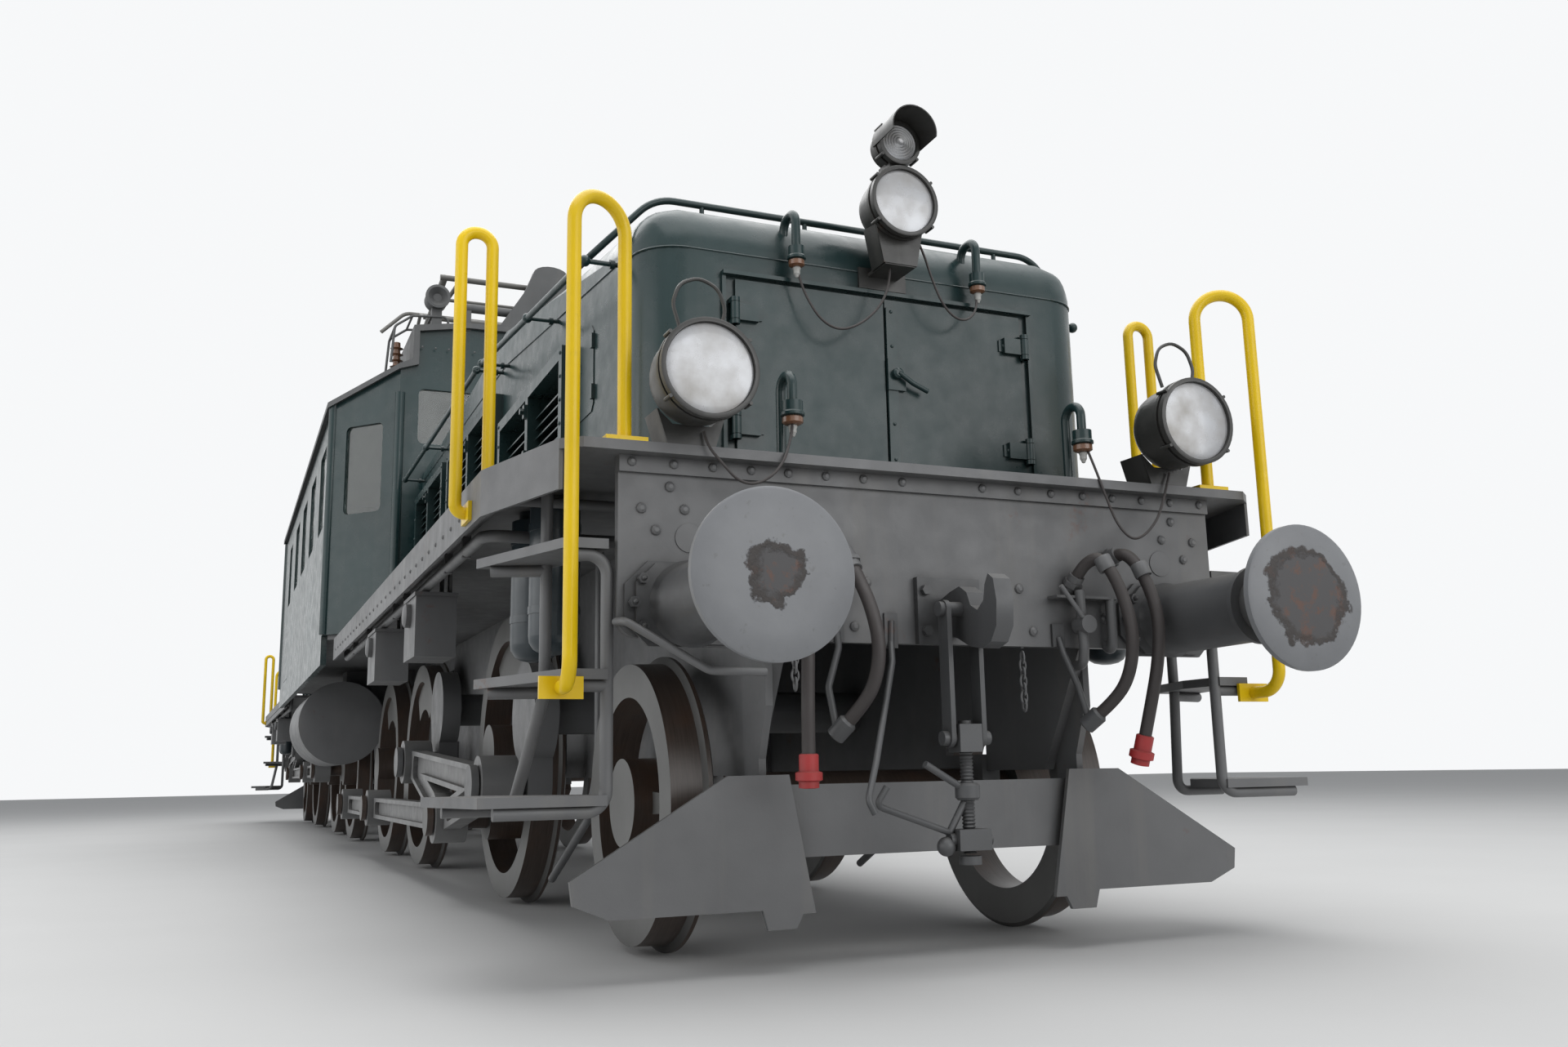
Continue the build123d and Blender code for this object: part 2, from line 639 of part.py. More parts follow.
# Buffers, hook and coupling
def buffers():
    z = above_rail(BUFFER_Z)
    with BuildPart() as pair:
        for side in (-1, 1):
            profile = Plane(origin=(0, side * BUFFER_Y, z), x_dir=(1, 0, 0), z_dir=(0, -1, 0))
            with BuildSketch(profile):
                with BuildLine():
                    Polyline(
                        (BEAM_X, 0), (BEAM_X, 200), (BEAM_X + 26, 200), (BEAM_X + 26, 150), (BEAM_X + 340, 130),
                        (BEAM_X + 340, 105), (BUFFER_FACE_X - 60, 95), (BUFFER_FACE_X - 36, BUFFER_DISC_R),
                        (BUFFER_FACE_X - 16, BUFFER_DISC_R), (BUFFER_FACE_X, 60), (BUFFER_FACE_X, 0), close=True)
                make_face()
            revolve(axis=Axis((0, side * BUFFER_Y, z), (1, 0, 0)))
    return pair.part


def draw_gear():
    """The draw hook with its guide plate, and the screw coupling that hangs from it."""
    z = above_rail(HOOK_Z)
    with BuildPart() as gear:
        with Locations((BEAM_X + 12, 0, z)):
            Box(24, 230, 250)
        with BuildSketch(Plane(origin=(0, 0, 0), x_dir=(1, 0, 0), z_dir=(0, -1, 0))):
            with BuildLine():
                Polyline(
                    (BEAM_X + 20, z - 60), (BEAM_X + 190, z - 70), (BEAM_X + 290, z - 110), (BEAM_X + 350, z - 20),
                    (BEAM_X + 345, z + 120), (BEAM_X + 315, z + 150), (BEAM_X + 285, z + 20), (BEAM_X + 230, z - 10),
                    (BEAM_X + 170, z + 60), (BEAM_X + 20, z + 60), close=True)
            make_face()
        extrude(amount=32, both=True)
        for side in (-1, 1):
            with Locations((BEAM_X + 120, side * 55, z - 170)):
                Box(40, 20, 400)
        with Locations((BEAM_X + 120, 0, z)):
            Cylinder(26, 160, rotation=(90, 0, 0))
        with Locations((BEAM_X + 120, 0, z - 360)):
            Box(70, 170, 70)
        with Locations((BEAM_X + 120, 0, z - 545)):
            Cylinder(24, 380)
        with Locations((BEAM_X + 120, 0, z - 690)):
            Box(70, 150, 70)
    return gear.part


# Hinges
def hinge_ears(x, y, z, seat_x, seat_y):
    """An upright pin held by two ears; seat_x and seat_y give the low and high ends of their feet."""
    span = HINGE_EYE_HEIGHT + 2 * HINGE_END_GAP
    with BuildPart() as ears:
        with Locations((x, y, z)):
            Cylinder(HINGE_PIN_R, span + 2 * HINGE_EAR)
        for low in (z - span / 2 - HINGE_EAR, z + span / 2):
            with BuildSketch(Plane.XY.offset(low)):
                with Locations((x, y)):
                    Circle(HINGE_EYE_R)
                with Locations((sum(seat_x) / 2, sum(seat_y) / 2)):
                    Rectangle(seat_x[1] - seat_x[0], seat_y[1] - seat_y[0])
            extrude(amount=HINGE_EAR)
    return ears.part


def hinge_eye(x, y, z, strap_x, strap_y):
    """An eye round the pin with a strap; strap_x and strap_y give the strap's low and high ends."""
    with BuildPart() as eye_piece:
        with BuildSketch(Plane.XY.offset(z - HINGE_EYE_HEIGHT / 2)):
            with Locations((x, y)):
                Circle(HINGE_EYE_R)
            with Locations((sum(strap_x) / 2, sum(strap_y) / 2)):
                Rectangle(strap_x[1] - strap_x[0], strap_y[1] - strap_y[0])
            with Locations((x, y)):
                Circle(HINGE_PIN_R + RUNNING_GAP, mode=Mode.SUBTRACT)
        extrude(amount=HINGE_EYE_HEIGHT)
    return eye_piece.part


# Hood and its doors
def hood():
    bottom = above_rail(DECK_TOP)
    top = above_rail(HOOD_TOP)
    with BuildPart() as body:
        with BuildSketch(Plane(origin=(HOOD_REAR_X, 0, 0), x_dir=(0, 1, 0), z_dir=(1, 0, 0))):
            with BuildLine():
                Polyline(
                    (-HOOD_HALF, top - HOOD_SHOULDER_R), (-HOOD_HALF, bottom), (HOOD_HALF, bottom),
                    (HOOD_HALF, top - HOOD_SHOULDER_R))
                RadiusArc((HOOD_HALF, top - HOOD_SHOULDER_R), (HOOD_HALF - HOOD_SHOULDER_R, top), -HOOD_SHOULDER_R)
                Line((HOOD_HALF - HOOD_SHOULDER_R, top), (-HOOD_HALF + HOOD_SHOULDER_R, top))
                RadiusArc((-HOOD_HALF + HOOD_SHOULDER_R, top), (-HOOD_HALF, top - HOOD_SHOULDER_R), -HOOD_SHOULDER_R)
            make_face()
        extrude(amount=HOOD_FRONT_X - HOOD_REAR_X)
        corners = body.edges().filter_by(Axis.Z).group_by(Axis.X)[-1]
        fillet(corners, HOOD_CORNER_R)
        with Locations((HOOD_FRONT_X, 0, above_rail(DOOR_BOTTOM))):
            Box(CAVITY_DEPTH, 2 * DOOR_HALF, DOOR_TOP - DOOR_BOTTOM,
                align=(Align.MAX, Align.CENTER, Align.MIN), mode=Mode.SUBTRACT)
        for side in (-1, 1):
            for z in HOOD_HINGE_Z:
                y = side * HOOD_HINGE_Y
                feet_y = sorted((y, y + side * HINGE_EYE_R))
                add(hinge_ears(HOOD_HINGE_X, y, above_rail(z), (HOOD_FRONT_X, HOOD_HINGE_X), feet_y))
    return body.part


def hood_door(side):
    """One leaf of the double front door: a plate that laps over the opening and a frame inside it."""
    inner = DOOR_GAP / 2
    outer = DOOR_HALF + DOOR_LAP
    low = above_rail(DOOR_BOTTOM - DOOR_LAP)
    height = DOOR_TOP - DOOR_BOTTOM + 2 * DOOR_LAP
    plate_x = HOOD_FRONT_X + SEAT_GAP
    hinge_y = side * HOOD_HINGE_Y
    to_leaf = Align.MIN if side > 0 else Align.MAX
    with BuildPart() as leaf:
        with Locations((plate_x, side * inner, low)):
            Box(DOOR_PLATE, outer - inner, height, align=(Align.MIN, to_leaf, Align.MIN))
        frame_height = height - 4 * DOOR_LAP
        with Locations((plate_x, side * (inner + DOOR_LAP), low + 2 * DOOR_LAP)):
            Box(DOOR_FRAME, outer - inner - 3 * DOOR_LAP, frame_height, align=(Align.MAX, to_leaf, Align.MIN))
        for z in HOOD_HINGE_Z:
            across = sorted((side * (outer - 80), hinge_y))
            add(hinge_eye(HOOD_HINGE_X, hinge_y, above_rail(z), (plate_x + DOOR_PLATE - 1, HOOD_HINGE_X + 2), across))
    return leaf.part


def lamps():
    """The two deck lamps, the top lamp and the small lamp above it."""
    with BuildPart() as lamp_set:
        for x, y, z, radius, length in (
                (9300, -890, 1730, 165, 230), (9300, 890, 1730, 165, 230), (8900, 0, 2550, 150, 180), (8850, 0, 2770, 60, 120)):
            with Locations((x, y, above_rail(z))):
                Cylinder(radius, length, rotation=(0, 90, 0), align=(Align.CENTER, Align.CENTER, Align.MAX))
        for side in (-1, 1):
            with Locations((9180 - 60, side * 890, above_rail(DECK_TOP))):
                Box(120, 60, 100, align=(Align.CENTER, Align.CENTER, Align.MIN))
        with Locations((HOOD_FRONT_X, 0, above_rail(2440))):
            Box(160, 80, 30, align=(Align.MIN, Align.CENTER, Align.MIN))
        with Locations((HOOD_FRONT_X + 60, 0, above_rail(2470))):
            Box(60, 60, 300, align=(Align.MIN, Align.CENTER, Align.MIN))
    return lamp_set.part


# Cab
def cab_outline(inset):
    front = CAB_FRONT_X - inset
    side_x = CAB_SIDE_X - inset * 0.41
    half = CAB_HALF - inset
    front_half = CAB_FRONT_HALF - inset * 0.41
    return [
        (front, -front_half), (front, front_half), (side_x, half), (-side_x, half), (-front, front_half),
        (-front, -front_half), (-side_x, -half), (side_x, -half)]


def roof_line(sheet):
    """Right half of the roof's cross-section, sheet = 0 for its top and ROOF_THICK for its underside."""
    step = ROOF_STEP_HALF - sheet
    return [
        (CAB_HALF + ROOF_OVERHANG, EAVE - sheet), (CAB_FRONT_HALF, SHOULDER - sheet), (step, SHOULDER + 40 - sheet),
        (step, ROOF_STEP_Z - sheet), (ROOF_STEP_HALF - 380, ROOF_CROWN - 10 - sheet), (0, ROOF_CROWN - sheet)]


def under_roof(sheet, low):
    """Everything between a height and the roof's top or underside, cut to no outline yet."""
    half = [(y, above_rail(z)) for y, z in roof_line(sheet)]
    edge = half[0][0]
    with BuildPart() as block:
        with BuildSketch(Plane(origin=(-CAB_FRONT_X - 100, 0, 0), x_dir=(0, 1, 0), z_dir=(1, 0, 0))):
            with BuildLine():
                Polyline(
                    (-edge, above_rail(low)), *[(-y, z) for y, z in half], *reversed(half[:-1]),
                    (edge, above_rail(low)), close=True)
            make_face()
        extrude(amount=2 * CAB_FRONT_X + 200)
    return block.part


def window_cutter(plane, width, height):
    """A block through a wall with the outline of a window, standing on the middle of its sill."""
    with BuildPart() as cutter:
        with BuildSketch(plane):
            RectangleRounded(width, height, WINDOW_CORNER_R, align=(Align.CENTER, Align.MIN))
        extrude(amount=2 * CAB_WALL, both=True)
    return cutter.part


def door_cutter(side):
    """A block through a side wall with the outline of its door."""
    with BuildPart() as cutter:
        with BuildSketch(door_plane(side)):
            Rectangle(CAB_DOOR_WIDTH, CAB_DOOR_TOP - CAB_DOOR_BOTTOM, align=(Align.CENTER, Align.MIN))
        extrude(amount=2 * CAB_WALL, both=True)
    return cutter.part


def wall_planes():
    """Each window of the cab by wall: a plane on its sill, its width and its height."""
    planes = []
    for end in (-1, 1):
        for side in (-1, 1):
            planes.append((
                Plane(origin=(end * CAB_FRONT_X, side * END_WINDOW_Y, above_rail(END_WINDOW_LOW)),
                      x_dir=(0, end, 0), z_dir=(end, 0, 0)), END_WINDOW_WIDTH, END_WINDOW_HEIGHT))
            bevel = Vector(end * (CAB_HALF - CAB_FRONT_HALF), side * (CAB_FRONT_X - CAB_SIDE_X), 0).normalized()
            planes.append((
                Plane(origin=(end * (CAB_FRONT_X + CAB_SIDE_X) / 2, side * (CAB_FRONT_HALF + CAB_HALF) / 2,
                              above_rail(BEVEL_WINDOW_LOW)), x_dir=(-bevel.Y, bevel.X, 0), z_dir=bevel),
                BEVEL_WINDOW_WIDTH, BEVEL_WINDOW_HEIGHT))
    for side in (-1, 1):
        for x in SIDE_WINDOW_X:
            planes.append((side_plane(side, side * x, CAB_HALF, above_rail(SIDE_WINDOW_LOW)),
                           SIDE_WINDOW_WIDTH, SIDE_WINDOW_HEIGHT))
    return planes


def door_plane(side):
    return side_plane(side, side * CAB_DOOR_X, CAB_HALF, above_rail(CAB_DOOR_BOTTOM))


def cab_shell():
    """The four walls in one ring, trimmed under the roof; it is split into its panels afterwards."""
    with BuildPart() as shell:
        add(under_roof(ROOF_THICK, SKIRT_BOTTOM))
        with BuildSketch(Plane.XY):
            with BuildLine():
                Polyline(*cab_outline(0), close=True)
            make_face()
            with BuildLine():
                Polyline(*cab_outline(CAB_WALL), close=True)
            make_face(mode=Mode.SUBTRACT)
        extrude(amount=5000, mode=Mode.INTERSECT)
        for end in (-1, 1):
            with Locations((end * BRIDGE_HALF_X, 0, above_rail(SKIRT_BOTTOM) - 10)):
                Box(2000, 4000, CAB_BOTTOM - SKIRT_BOTTOM + 10,
                    align=(Align.MIN if end > 0 else Align.MAX, Align.CENTER, Align.MIN), mode=Mode.SUBTRACT)
        for plane, width, height in wall_planes():
            add(window_cutter(plane, width, height), mode=Mode.SUBTRACT)
        for side in (-1, 1):
            add(door_cutter(side), mode=Mode.SUBTRACT)
        for z in CAB_HINGE_Z:
            ears = hinge_ears(CAB_HINGE_X, CAB_HINGE_Y, above_rail(z), (CAB_HINGE_X - 12, CAB_HINGE_X + 12),
                              (CAB_HINGE_Y, CAB_HALF - CAB_WALL))
            add(ears)
            add(ears.rotate(Axis.Z, 180))
    return shell.part


def cab_panels():
    """The end walls reach from bevel to bevel; the side walls lie between them."""
    shell = cab_shell()
    split_x = CAB_SIDE_X - CAB_WALL
    panels = {}
    for name, x, y in (
            ("cab_front_wall", 1, 0), ("cab_rear_wall", -1, 0), ("cab_left_wall", 0, 1), ("cab_right_wall", 0, -1)):
        with BuildPart() as panel:
            add(shell)
            if x:
                with Locations((x * split_x, 0, 0)):
                    Box(4000, 6000, 12000, align=(Align.MIN if x > 0 else Align.MAX, Align.CENTER, Align.CENTER),
                        mode=Mode.INTERSECT)
            else:
                with Locations((0, 0, 0)):
                    Box(2 * split_x, 3000, 12000, align=(Align.CENTER, Align.MIN if y > 0 else Align.MAX, Align.CENTER),
                        mode=Mode.INTERSECT)
        panels[name] = panel.part
    return panels


def cab_roof():
    """A sheet that follows the eaves and the raised middle, cut to the cab's outline with an overhang."""
    with BuildPart() as roof:
        add(under_roof(0, EAVE - ROOF_THICK))
        add(under_roof(ROOF_THICK, SKIRT_BOTTOM), mode=Mode.SUBTRACT)
        with BuildSketch(Plane.XY):
            with BuildLine():
                Polyline(*cab_outline(-ROOF_OVERHANG), close=True)
            make_face()
        extrude(amount=6000, mode=Mode.INTERSECT)
    return roof.part


def glazing():
    """A pane in each cab window, in the middle of the wall."""
    with BuildPart() as panes:
        for plane, width, height in wall_planes():
            with BuildSketch(plane.offset(-CAB_WALL / 2 - GLASS_THICK / 2)):
                with Locations((0, PANE_GAP)):
                    RectangleRounded(width - 2 * PANE_GAP, height - 2 * PANE_GAP, WINDOW_CORNER_R,
                                     align=(Align.CENTER, Align.MIN))
            extrude(amount=GLASS_THICK)
    return panes.part


def cab_door():
    """The left door: a glazed panel, flush with the wall, that swings inwards; the right one is turned."""
    plane = door_plane(1).offset(-DOOR_PANEL)
    height = CAB_DOOR_TOP - CAB_DOOR_BOTTOM
    with BuildPart() as door:
        with BuildSketch(plane):
            with Locations((0, DOOR_GAP)):
                Rectangle(CAB_DOOR_WIDTH - 2 * DOOR_GAP, height - 2 * DOOR_GAP, align=(Align.CENTER, Align.MIN))
            with Locations((0, height - 760)):
                Rectangle(CAB_DOOR_WIDTH - 200, 620, align=(Align.CENTER, Align.MIN), mode=Mode.SUBTRACT)
        extrude(amount=DOOR_PANEL)
        with BuildSketch(plane.offset(DOOR_PANEL / 2 - GLASS_THICK / 2)):
            with Locations((0, height - 760)):
                Rectangle(CAB_DOOR_WIDTH - 200, 620, align=(Align.CENTER, Align.MIN))
        extrude(amount=GLASS_THICK)
        for z in CAB_HINGE_Z:
            edge = CAB_HINGE_X - 12
            add(hinge_eye(CAB_HINGE_X, CAB_HINGE_Y, above_rail(z), (edge - 20, edge),
                          (CAB_HINGE_Y - 6, CAB_HALF - DOOR_PANEL + 1)))
    return door.part


def bridge_frame():
    """Floor, main beams and centre pins under the cab, with the transformer and the two side drums."""
    floor_top = above_rail(CAB_BOTTOM)
    with BuildPart() as frame:
        with BuildSketch(Plane.XY.offset(floor_top - FLOOR_THICK)):
            with BuildLine():
                Polyline(*cab_outline(CAB_WALL), close=True)
            make_face()
        extrude(amount=FLOOR_THICK)
        for side in (-1, 1):
            with Locations((0, side * 400, above_rail(FRAME_LOW_TOP) + 80)):
                Box(2 * BRIDGE_HALF_X, 160, floor_top - FLOOR_THICK - above_rail(FRAME_LOW_TOP) - 80,
                    align=(Align.CENTER, Align.CENTER, Align.MIN))
        pin_end = above_rail(FRAME_LOW_TOP) - PIVOT_BORE_DEPTH + PIVOT_END_GAP
        for end in (-1, 1):
            with Locations((end * PIVOT_X, 0, pin_end)):
                Cylinder(PIVOT_R, floor_top - FLOOR_THICK - pin_end,
                         align=(Align.CENTER, Align.CENTER, Align.MIN))
        with Locations((0, 0, above_rail(620))):
            Box(2 * 370, 1300, floor_top - FLOOR_THICK - above_rail(620), align=(Align.CENTER, Align.CENTER, Align.MIN))
        for side in (-1, 1):
            with Locations((0, side * DRUM_Y, above_rail(DRUM_Z))):
                Cylinder(DRUM_R, 2 * DRUM_HALF, rotation=(0, 90, 0))
            with Locations((0, side * 800, above_rail(DRUM_Z + 150))):
                Box(400, 500, floor_top - FLOOR_THICK - above_rail(DRUM_Z + 150),
                    align=(Align.CENTER, Align.CENTER, Align.MIN))
    return frame.part


def cab_interior():
    """The high-voltage cabinet in the middle and a control stand at each end."""
    floor_top = above_rail(CAB_BOTTOM)
    with BuildPart() as inside:
        with Locations((0, 0, floor_top)):
            Box(2600, 1300, 1500, align=(Align.CENTER, Align.CENTER, Align.MIN))
        for end in (-1, 1):
            with Locations((end * 3050, end * -450, floor_top)):
                Cylinder(170, 950, align=(Align.CENTER, Align.CENTER, Align.MIN))
            with Locations((end * 3050, end * -450, floor_top + 950)):
                Cylinder(230, 40, align=(Align.CENTER, Align.CENTER, Align.MIN))
    return inside.part


# Roof equipment and pantographs
def roof_equipment():
    """Insulators and pantograph base frames, the domed housing, corner guards and roof lamps."""
    crown = above_rail(ROOF_CROWN)
    base_low = above_rail(PANTO_PIVOT_Z) - 70
    with BuildPart() as gear:
        for end in (-1, 1):
            for x in (-1, 1):
                for side in (-1, 1):
                    with Locations((end * PANTO_X + x * PANTO_HALF_BASE, side * 700, above_rail(ROOF_CROWN - 60))):
                        Cylinder(60, base_low - above_rail(ROOF_CROWN - 60), align=(Align.CENTER, Align.CENTER, Align.MIN))
            for side in (-1, 1):
                with Locations((end * PANTO_X, side * 700, base_low)):
                    Box(2 * PANTO_HALF_BASE + 120, 60, 30, align=(Align.CENTER, Align.CENTER, Align.MIN))
                for x in (-1, 1):
                    bearing = Plane(origin=(end * PANTO_X + x * PANTO_HALF_BASE, side * 700, above_rail(PANTO_PIVOT_Z)),
                                    x_dir=(1, 0, 0), z_dir=(0, -1, 0))
                    with BuildSketch(bearing):
                        Circle(PANTO_SHAFT_R + 22)
                        with Locations((0, -PANTO_SHAFT_R)):
                            Rectangle(2 * (PANTO_SHAFT_R + 22), 2 * PANTO_SHAFT_R - 20)
                        Circle(PANTO_SHAFT_R + RUNNING_GAP, mode=Mode.SUBTRACT)
                    extrude(amount=20, both=True)
            for x in (-1, 1):
                with Locations((end * PANTO_X + x * (PANTO_HALF_BASE - 60), 0, base_low)):
                    Box(60, 1400, 30, align=(Align.CENTER, Align.CENTER, Align.MIN))
        add(under_roof(0, SKIRT_BOTTOM), mode=Mode.SUBTRACT)
    return gear.part


def panto_knee(end, way):
    """The knee of one half: way is 1 for the half that points outwards, -1 for the one that points inwards."""
    angle = radians(PANTO_REST_ANGLE)
    base_x = end * PANTO_X + way * end * PANTO_HALF_BASE
    return base_x, base_x + way * end * PANTO_ARM * cos(angle), above_rail(PANTO_PIVOT_Z) + PANTO_ARM * sin(angle)


def cross_tube(x, z, half, radius):
    with BuildPart() as tube:
        with BuildSketch(Plane(origin=(x, half, z), x_dir=(1, 0, 0), z_dir=(0, -1, 0))):
            Circle(radius)
        extrude(amount=2 * half)
    return tube.part


def eye(x, y, z, inner_r, outer_r, thick):
    with BuildPart() as ring:
        with BuildSketch(Plane(origin=(x, y, z), x_dir=(1, 0, 0), z_dir=(0, -1, 0))):
            Circle(outer_r)
            Circle(inner_r, mode=Mode.SUBTRACT)
        extrude(amount=thick / 2, both=True)
    return ring.part


def panto_lower(end, way):
    """Base shaft, two arms and the knee tube."""
    base_x, knee_x, knee_z = panto_knee(end, way)
    base_z = above_rail(PANTO_PIVOT_Z)
    with BuildPart() as lower:
        add(cross_tube(base_x, base_z, PANTO_LOWER_Y + 30, PANTO_SHAFT_R))
        add(cross_tube(knee_x, knee_z, PANTO_LOWER_Y + 30, PANTO_TUBE_R))
        for side in (-1, 1):
            add(bar_between((base_x, side * PANTO_LOWER_Y, base_z), (knee_x, side * PANTO_LOWER_Y, knee_z), PANTO_TUBE_R + 4))
    return lower.part


def panto_upper(end, way, open_end):
    """Two arms from the knee to the head; the open half stops short of the head's tube."""
    base_x, knee_x, knee_z = panto_knee(end, way)
    top_z = above_rail(PANTO_PIVOT_Z) + 2 * PANTO_ARM * sin(radians(PANTO_REST_ANGLE))
    run = Vector(base_x - knee_x, 0, top_z - knee_z).normalized()
    with BuildPart() as upper:
        for side in (-1, 1):
            y = side * PANTO_UPPER_Y
            start = Vector(knee_x, y, knee_z) + run * (PANTO_TUBE_R + 12)
            stop = Vector(base_x, y, top_z) - run * (PANTO_TUBE_R + 12)
            add(bar_between(tuple(start), tuple(stop), PANTO_TUBE_R - 5))
            add(eye(knee_x, y, knee_z, PANTO_TUBE_R + RUNNING_GAP, PANTO_TUBE_R + 22, 40))
            add(eye(base_x, y, top_z, PANTO_TUBE_R + (3 if open_end else RUNNING_GAP), PANTO_TUBE_R + 22, 40))
        middle = Vector(knee_x, 0, knee_z) + run * (PANTO_ARM / 2)
        add(bar_between((middle.X, -PANTO_UPPER_Y, middle.Z), (middle.X, PANTO_UPPER_Y, middle.Z), PANTO_TUBE_R - 7))
    return upper.part


def panto_head(end):
    """Two cross tubes, the side links and the collector strip with its bent horns."""
    z = above_rail(PANTO_PIVOT_Z) + 2 * PANTO_ARM * sin(radians(PANTO_REST_ANGLE))
    x = end * PANTO_X
    with BuildPart() as head:
        for way in (-1, 1):
            add(cross_tube(x + way * PANTO_HALF_BASE, z, PANTO_UPPER_Y + 90, PANTO_TUBE_R))
        for side in (-1, 1):
            y = side * (PANTO_UPPER_Y + 75)
            add(bar_between((x - PANTO_HALF_BASE, y, z), (x, y, z + PANTO_HEAD_RISE), 14))
            add(bar_between((x + PANTO_HALF_BASE, y, z), (x, y, z + PANTO_HEAD_RISE), 14))
        add(bent_bar([
            (x, -PANTO_HEAD_HALF - 130, z + PANTO_HEAD_RISE - 190), (x, -PANTO_HEAD_HALF + 60, z + PANTO_HEAD_RISE),
            (x, PANTO_HEAD_HALF - 60, z + PANTO_HEAD_RISE), (x, PANTO_HEAD_HALF + 130, z + PANTO_HEAD_RISE - 190)], 16, 120))
    return head.part


# Pieces of the bogies, saved for both ends
save_both_ends(bogie_frame() + axle_boxes() + motors(), "bogie_frame")
with BuildPart() as deck_and_steps:
    add(deck())
    for side in (-1, 1):
        add(corner_steps(side))
save_both_ends(deck_and_steps.part, "deck")
with BuildPart() as beam_and_plough:
    add(end_beam())
    add(plough())
save_both_ends(beam_and_plough.part, "end_beam")
save_both_ends(buffers() + draw_gear(), "buffing_gear")
save_both_ends(hood(), "hood")
save_both_ends(hood_door(1), "hood_door_left")
save_both_ends(hood_door(-1), "hood_door_right")
save_both_ends(grab_rails(), "grab_rails")
save_both_ends(lamps(), "lamps")

# Cab, bridge frame and roof
for name, panel in cab_panels().items():
    save(panel, name)
save(cab_roof(), "cab_roof")
save(glazing(), "cab_glazing")
save(cab_door(), "cab_door_left")
save(cab_door().rotate(Axis.Z, 180), "cab_door_right")
save(bridge_frame(), "bridge_frame")
save(cab_interior(), "cab_interior")
save(roof_equipment(), "roof_equipment")
for end, end_name in ((1, "front"), (-1, "rear")):
    save(panto_lower(end, 1), f"{end_name}_pantograph_outer_lower")
    save(panto_upper(end, 1, False), f"{end_name}_pantograph_outer_upper")
    save(panto_lower(end, -1), f"{end_name}_pantograph_inner_lower")
    save(panto_upper(end, -1, True), f"{end_name}_pantograph_inner_upper")
    save(panto_head(end), f"{end_name}_pantograph_head")

# Wheelsets, crank shafts and rods
save_both_ends(wheelset(CARRIER_X, CARRIER_R, 9, False), "carrying_wheelset")
for key, x in DRIVER_X.items():
    save_both_ends(wheelset(x, DRIVER_R, 13, True), f"driving_wheelset_{key}")
for key in SHAFT_X:
    save_both_ends(crank_shaft(key), f"{key}_shaft")
for side, side_name in ((-1, "right"), (1, "left")):
    save_both_ends(rods(side), f"rods_{side_name}")
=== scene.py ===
# %% [markdown]
# # An articulated electric locomotive, dressed in Blender
# The solids of the locomotive come from its CAD model. This notebook gives them their paint, adds the small
# things that were too fine for the solids, such as rivets, nuts, lamp glasses and cables, and sets up a
# plain studio round them. Everything is in metres: +X points to the leading end, +Y to its left side and +Z
# up.

# %% Load the frame
import json
from math import cos, pi, radians, sin, tan

import bmesh
import bpy
from mathutils import Matrix, Vector


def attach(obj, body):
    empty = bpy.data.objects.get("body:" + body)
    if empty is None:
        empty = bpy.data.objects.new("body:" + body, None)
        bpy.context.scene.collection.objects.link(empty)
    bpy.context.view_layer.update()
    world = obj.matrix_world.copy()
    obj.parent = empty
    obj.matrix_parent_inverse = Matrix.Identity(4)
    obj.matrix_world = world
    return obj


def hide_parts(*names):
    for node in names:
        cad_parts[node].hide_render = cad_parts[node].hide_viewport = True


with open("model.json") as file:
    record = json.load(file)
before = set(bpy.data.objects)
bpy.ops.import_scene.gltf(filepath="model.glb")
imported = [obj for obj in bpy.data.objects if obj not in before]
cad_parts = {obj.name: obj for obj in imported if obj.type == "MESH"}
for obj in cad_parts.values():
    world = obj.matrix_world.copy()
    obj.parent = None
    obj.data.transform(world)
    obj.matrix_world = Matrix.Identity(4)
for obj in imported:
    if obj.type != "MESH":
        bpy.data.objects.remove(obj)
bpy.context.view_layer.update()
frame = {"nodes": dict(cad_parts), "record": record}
FLANGE = 0.028                    # the rail head lies this far above the tips of the wheel flanges
ENDS = (("front", 0.0), ("rear", pi))


def new_object(name, data):
    """An object with this data, linked to the scene."""
    made = bpy.data.objects.new(name, data)
    bpy.context.scene.collection.objects.link(made)
    return made


# %% [markdown]
# ## The camera
# A locomotive looks tall and heavy when it is seen from knee height with a moderately wide lens. The camera
# stands to the right of the leading end, half a metre above the rail, and looks up a little. A rotation
# matrix built from three angles is exact where a tracking constraint would only aim.

# %% Camera from its place and its three angles
CAMERA_PLACE = Vector((12.713, -2.153, 0.569 + FLANGE))
CAMERA_YAW = radians(23.54)       # away from the locomotive's long axis
CAMERA_PITCH = radians(10.73)
CAMERA_ROLL = radians(-1.13)
FOCAL_LENGTH = 30.1               # millimetres
SENSOR_WIDTH = 36

forward = Vector((
    -cos(CAMERA_YAW) * cos(CAMERA_PITCH), sin(CAMERA_YAW) * cos(CAMERA_PITCH), sin(CAMERA_PITCH)))
level_right = Vector((sin(CAMERA_YAW), cos(CAMERA_YAW), 0))
level_up = level_right.cross(forward)
right = cos(CAMERA_ROLL) * level_right + sin(CAMERA_ROLL) * level_up
up = cos(CAMERA_ROLL) * level_up - sin(CAMERA_ROLL) * level_right

camera_data = bpy.data.cameras.new("camera")
camera_data.lens = FOCAL_LENGTH
camera_data.sensor_width = SENSOR_WIDTH
camera = new_object("camera", camera_data)
turned = Matrix((right, up, -forward)).transposed().to_4x4()
camera.matrix_world = Matrix.Translation(CAMERA_PLACE) @ turned
bpy.context.scene.camera = camera
print("camera at", [round(value, 3) for value in CAMERA_PLACE])

